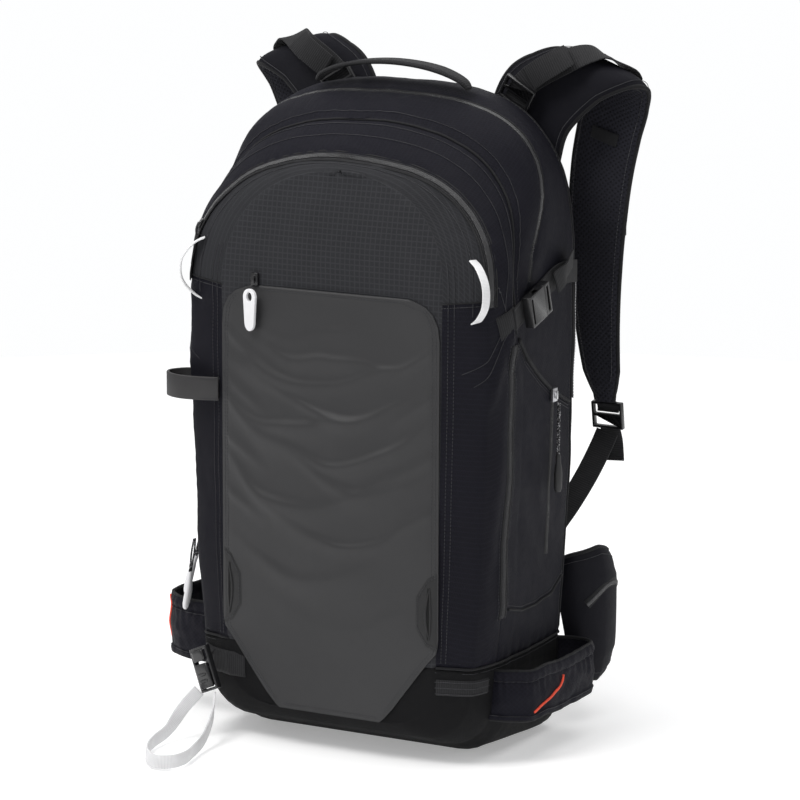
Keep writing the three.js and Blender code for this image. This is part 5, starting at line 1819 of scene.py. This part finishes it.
def hip_wings():
    for tag, side in SIDES:
        rows = [[x * side, y, z, w - 2, t * 0.86, 0, 0, 1] for x, y, z, w, t in WING]
        frames = frames_of(rows, 110)
        points = 44
        away = frames["path"].copy()
        away[:, 2] = 0
        sign = float(np.sign((frames["outward"] * away).sum()))
        soft = pad_profile(frames, 0.5, 1.1, points, seed=5.0 + side)

        def ring(width, thick, index):
            shaped = []
            for u, v in soft(width, thick, index):
                if v * sign > 0 and abs(u) < width * 0.34:
                    v += sign * 1.1 * math.exp(-((frames["t"][index] - 0.42) / 0.20) ** 4) * MM
                shaped.append((u, v))
            return shaped

        verts, faces, uv = sweep(frames, ring)
        ids = []
        for face in faces:
            upper = face[0] % points < points // 2
            ids.append(0 if (upper == (sign > 0)) or len(face) > 4 else 1)
        body = f"hip_belt_{tag}"
        piece = make(f"hip_wing_{tag}_pad", verts, faces, body, ["strap", "foam"], uv=uv, ids=ids,
                     replaces=[f"hip_wing_{tag}"], slot="outer_fabric")
        recalc(piece)
        binding, threads, tape, coil = Bag(), Bag(), Bag(), Bag()
        for s in (-1, 1):
            rim = frames["path"] + frames["across"] * s * (frames["width"][:, None] / 2 - 0.4 * MM)
            tube_into(binding, rim[1:-1], 2.2 * MM)
            row = frames["path"] + frames["across"] * s * (frames["width"][:, None] / 2 - 6.0 * MM)
            lift = pad_lift(6.0 * MM, frames["width"], frames["thick"])[:, None]
            row = row + frames["outward"] * sign * lift
            stitches_into(threads, row[4:-4], (frames["outward"] * sign)[4:-4])
        span = slice(22, 74)
        arc = 0.14 * np.sin(np.linspace(0, math.pi, 52))[:, None] + 0.10
        zip_path = frames["path"][span] + frames["across"][span] * arc * frames["width"][span, None]
        up = (frames["outward"] * sign)[span]
        zip_path = zip_path + up * (frames["thick"][span, None] / 2 + 1.3 * MM)
        tape_on_path(tape, zip_path, up, 4.5 * MM, 0.8 * MM)
        coil_into(coil, zip_path, up, 3.6 * MM, height=0.8 * MM, lift=0.7 * MM)
        recalc(binding.piece(f"hip_wing_{tag}_binding", body, "binding"))
        threads.piece(f"hip_wing_{tag}_stitching", body, "thread")
        recalc(tape.piece(f"hip_wing_{tag}_zip", body, "tape"))
        coil.piece(f"hip_wing_{tag}_coil", body, "teeth")
        end = 50 if side < 0 else 29
        plan = [[90.5, 197.3], [76, 202.4], [62, 205.8], [end, 208]]
        rows = [[x * side, y, 95, 36, 2.0, 0, 0, 1] for x, y in plan]
        belt = web_piece(f"hip_webbing_{tag}_web", rows, 50, body, "web",
                         replaces=[f"hip_webbing_{tag}"], slot="black_webbing")
        edge_stitches(f"hip_webbing_stitching_{tag}", belt, body, (sign,), (0.0, 0.2))


hip_wings()


# ------------------------------------------------------------------ zip pulls and the pocket cord
def grip_shape(bag, top, lean, width, thick, length, hook):
    """A slim moulded grip: a narrow neck that swells and ends in a rounded foot, leaning to the left."""
    down = np.array([-math.sin(lean), 0.0, -math.cos(lean)])
    broad = np.array([0.0, 1.0, 0.0])
    thin = np.cross(down, broad)
    rings = []
    for t, w in ((0.0, 0.42), (0.03, 0.56), (0.10, 0.58), (0.16, 0.50), (0.30, 0.78), (0.5, 0.98), (0.7, 1.0),
                 (0.86, 0.9), (0.95, 0.62), (1.0, 0.2)):
        bend = hook * math.sin(math.pi * t) ** 2
        centre = np.asarray(top) + down * t * length * MM + broad * bend * MM
        for k in range(18):
            a = 2 * math.pi * k / 18
            flat = math.copysign(abs(math.sin(a)) ** 0.7, math.sin(a))
            rings.append(centre + broad * math.cos(a) * width / 2 * w * MM
                         + thin * flat * thick / 2 * (0.4 + 0.6 * w) * MM)
    faces = grid_faces(10, 18, wrap=True) + [tuple(range(18)), tuple(range(9 * 18, 10 * 18))[::-1]]
    bag.put(rings, faces)


def free_cord(name, path, diameter, body):
    """A free cord: a round tube on its centreline, smoothed through a few points in mm."""
    points, _ = catmull(np.array(path, float), 46)
    points = resample(points * MM, 0.9 * MM)
    bag = Bag()
    tube_into(bag, points, diameter / 2 * MM, sides=10)
    piece = bag.piece(name, body, "cord")
    recalc(piece)
    return piece


def pulls():
    """The two white grips on speckled cord by the left side zip, and the black one on the right pocket.

    The rear pull's strands are short plain tubes.
    """
    for name, node, body, at, lean, cord_length, long, hook in (
            ("front", "side_pull_left_front", "side_pull_front", (-160.5, -52, 164), 0.16, 30, 36, 1.6),
            ("rear", "side_pull_left_rear", "side_pull_rear", (-160.5, -41, 164), 0.3, 18, 38, -1.2)):
        down = np.array([-math.sin(lean), 0.0, -math.cos(lean)])
        grip = Bag()
        grip_shape(grip, (np.array(at) + down * cord_length) * MM, lean, 8.8, 5.4, long, hook)
        piece = grip.piece(f"side_pull_{name}_grip", body, "white", replaces=[node], slot="white_plastic")
        recalc(piece)
        strands = Bag()
        for tag, s in (("a", -1), ("b", 1)):
            spread = [np.array(at) + np.array([0, s * 1.1, 1.0]),
                      np.array(at) + down * cord_length * 0.35 + np.array([0.3 * s, s * 1.9, 0]),
                      np.array(at) + down * cord_length * 0.75 + np.array([0.2 * s, s * 1.3, 0]),
                      np.array(at) + down * (cord_length + 3.0) + np.array([0, s * 1.0, 0])]
            if name == "front":
                free_cord(f"side_pull_front_cord_{tag}", spread, 1.8, body)
            else:
                tube_into(strands, catmull(np.array(spread), 20)[0] * MM, 0.95 * MM)
        if strands.verts:
            recalc(strands.piece(f"side_pull_{name}_cord", body, "cord"))
    # the ribbed rubber grip, turned about an upright axis: (radius, height)
    profile = [(0.0, 260), (1.9, 260), (2.6, 257), (2.7, 252), (3.4, 249), (4.1, 243), (4.3, 236), (3.9, 229),
               (2.6, 226.2), (0.0, 226)]
    verts, sides = [], 20
    for r, z in profile:
        r *= 1 + 0.035 * math.cos(z * 2.2)
        for a in (2 * math.pi * j / sides for j in range(sides)):
            verts.append(((158.6 + 0.8 * r * math.cos(a)) * MM, (34.6 + 1.1 * r * math.sin(a)) * MM, z * MM))
    grip = Bag()
    grip.put(verts, grid_faces(len(profile), sides, wrap=True))
    piece = grip.piece("pocket_grip_rubber", "pocket_pull", "rubber", replaces=["pocket_grip"],
                       slot="soft_rubber")
    recalc(piece)
    cord = free_cord("pocket_pull_cord", [(158.8, 34, 305.5), (159.4, 33.4, 296), (158.6, 34.6, 286),
                                          (158.9, 34.0, 276), (158.4, 34.4, 266), (158.6, 34.6, 258)],
                     3.0, "pocket_pull")
    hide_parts("pocket_cord")


pulls()


def arch_puller():
    """The black slider and short cord puller at the left end of the front pocket's arched zip."""
    line, normal = on_wall(TOOL_Q, 1.6, 400, "left")
    i = int(np.argmin(np.abs(line[:, 2] - 0.452)))
    at, up = line[i], normal[i]
    t = unit(line[min(i + 1, len(line) - 1)] - line[i - 1])
    wide = np.cross(t, up)
    block = Bag()
    rings = []
    for d, half, tall in ((-4.6, 1.6, 1.4), (-3.6, 3.4, 2.6), (0.0, 3.8, 3.2), (3.6, 3.4, 2.6),
                          (4.6, 1.6, 1.4)):
        for a in np.linspace(0, 2 * math.pi, 16, endpoint=False):
            c, k = math.cos(a), math.sin(a)
            rings.append(at + (t * d + wide * half * math.copysign(abs(c) ** 0.5, c)
                               + up * (tall / 2 + 0.3 + tall / 2 * math.copysign(abs(k) ** 0.5, k))) * MM)
    block.put(rings, grid_faces(5, 16, wrap=True) + [tuple(range(16)), tuple(range(64, 80))[::-1]])
    cords, grip = Bag(), Bag()
    start = at + up * 3.4 * MM
    for s in (-1, 1):
        strand = [start + wide * s * 0.9 * MM,
                  start + up * 2.4 * MM + wide * s * 1.6 * MM - np.array([0, 0, 7 * MM]),
                  start + up * 2.0 * MM + wide * s * 1.0 * MM - np.array([0, 0, 15 * MM])]
        tube_into(cords, catmull(np.array(strand), 18)[0], 0.85 * MM)
    grip_shape(grip, start + up * 2.0 * MM - np.array([0, 0, 13 * MM]), 0.05, 7.0, 4.2, 22, 0.6)
    recalc(block.piece("arch_zip_slider", "pack", "plastic"))
    recalc(cords.piece("arch_zip_cord", "pack", "cable"))
    recalc(grip.piece("arch_zip_grip", "pack", "rubber"))


arch_puller()


def back_edge_coil():
    """The light zip teeth that show along the right back edge of the pack."""
    coil, tape = Bag(), Bag()
    line, normal = on_wall(5.35, 0.5, 296, "right")
    keep = line[:, 2] < 0.424
    tape_on_path(tape, line[keep], normal[keep], 3.6 * MM, 0.7 * MM)
    coil_into(coil, line[keep], normal[keep], 3.0 * MM, height=0.8 * MM, lift=0.6 * MM)
    recalc(tape.piece("back_edge_tape", "pack", "tape"))
    coil.piece("back_edge_coil", "pack", "silver")


back_edge_coil()


# ------------------------------------------------------------------ floor, light and background
TARGET = Vector((0, -0.02, 0.28))  # what the lamps point at
LAMPS = (
    # name, azimuth and elevation in degrees, distance and size in metres, watts, colour
    ("top", 172, 80, 3.0, 3.4, 50.0, (1.0, 0.995, 0.99)),
    ("key", -22, 56, 1.55, 0.7, 12.0, (1.0, 0.99, 0.98)),
    ("fill", 85, 35, 2.4, 1.2, 0.9, (0.97, 0.98, 1.0)),
    ("left", -105, 28, 2.6, 1.0, 1.6, (0.98, 0.99, 1.0)),
)


def make_floor():
    """A pale disc just under the pack that gives off a little light of its own."""
    floor_mesh = bpy.data.meshes.new("floor")
    reach, low, sides = 1.9, -0.0012, 96
    turn = np.linspace(0, 2 * math.pi, sides, endpoint=False)
    floor_mesh.from_pydata([(reach * math.cos(a), reach * math.sin(a), low) for a in turn], [],
                           [tuple(range(sides))])
    look = Look("floor", Roughness=0.85, Specular_IOR_Level=0.1, Emission_Color=(1.0, 1.0, 1.0, 1.0),
                Emission_Strength=0.3)
    look.color(look.ramp(look.noise(1.2, 2.0), [(0.2, (0.90, 0.90, 0.905)), (0.8, (0.93, 0.93, 0.93))]))
    floor_mesh.materials.append(look.material)
    floor = bpy.data.objects.new("floor", floor_mesh)
    bpy.context.collection.objects.link(floor)


def make_world():
    """A bright wall in a fixed direction, behind the pack and to its left, and a dim room elsewhere."""
    world = bpy.data.worlds.new("studio")
    bpy.context.scene.world = world
    world.use_nodes = True
    tree = world.node_tree
    background = tree.nodes["Background"]
    place = tree.nodes.new("ShaderNodeTexCoord")
    axes = tree.nodes.new("ShaderNodeSeparateXYZ")
    tree.links.new(place.outputs["Generated"], axes.inputs[0])
    # how squarely a direction points at the wall, from its X and Y
    aim = 0.0
    for axis, gain in ((0, -0.5), (1, 0.866)):
        node = tree.nodes.new("ShaderNodeMath")
        node.operation = "MULTIPLY_ADD"
        tree.links.new(axes.outputs[axis], node.inputs[0])
        node.inputs[1].default_value = gain
        if axis == 0:
            node.inputs[2].default_value = aim
        else:
            tree.links.new(aim, node.inputs[2])
        aim = node.outputs[0]
    spread = tree.nodes.new("ShaderNodeMapRange")
    tree.links.new(aim, spread.inputs[0])
    for socket, value in zip(spread.inputs[1:5], (0.86, 0.95, 0.5, 1.0)):  # from and to, low and high
        socket.default_value = value
    tree.links.new(spread.outputs[0], background.inputs[1])
    background.inputs[0].default_value = (0.99, 0.995, 1.0, 1.0)


def make_lamps():
    for name, azimuth, elevation, distance, size, watts, color in LAMPS:
        a, e = math.radians(azimuth), math.radians(elevation)
        lamp = bpy.data.lights.new(name, "AREA")
        lamp.shape = "DISK"
        lamp.size = size
        lamp.energy = watts
        lamp.color = color
        light = bpy.data.objects.new(name, lamp)
        toward = Vector((math.sin(a) * math.cos(e), -math.cos(a) * math.cos(e), math.sin(e)))
        light.location = TARGET + toward * distance
        light.rotation_mode = "QUATERNION"
        light.rotation_quaternion = (TARGET - light.location).to_track_quat("-Z", "Y")
        bpy.context.collection.objects.link(light)


make_floor()
make_world()
make_lamps()
bpy.context.scene.view_settings.view_transform = "Standard"
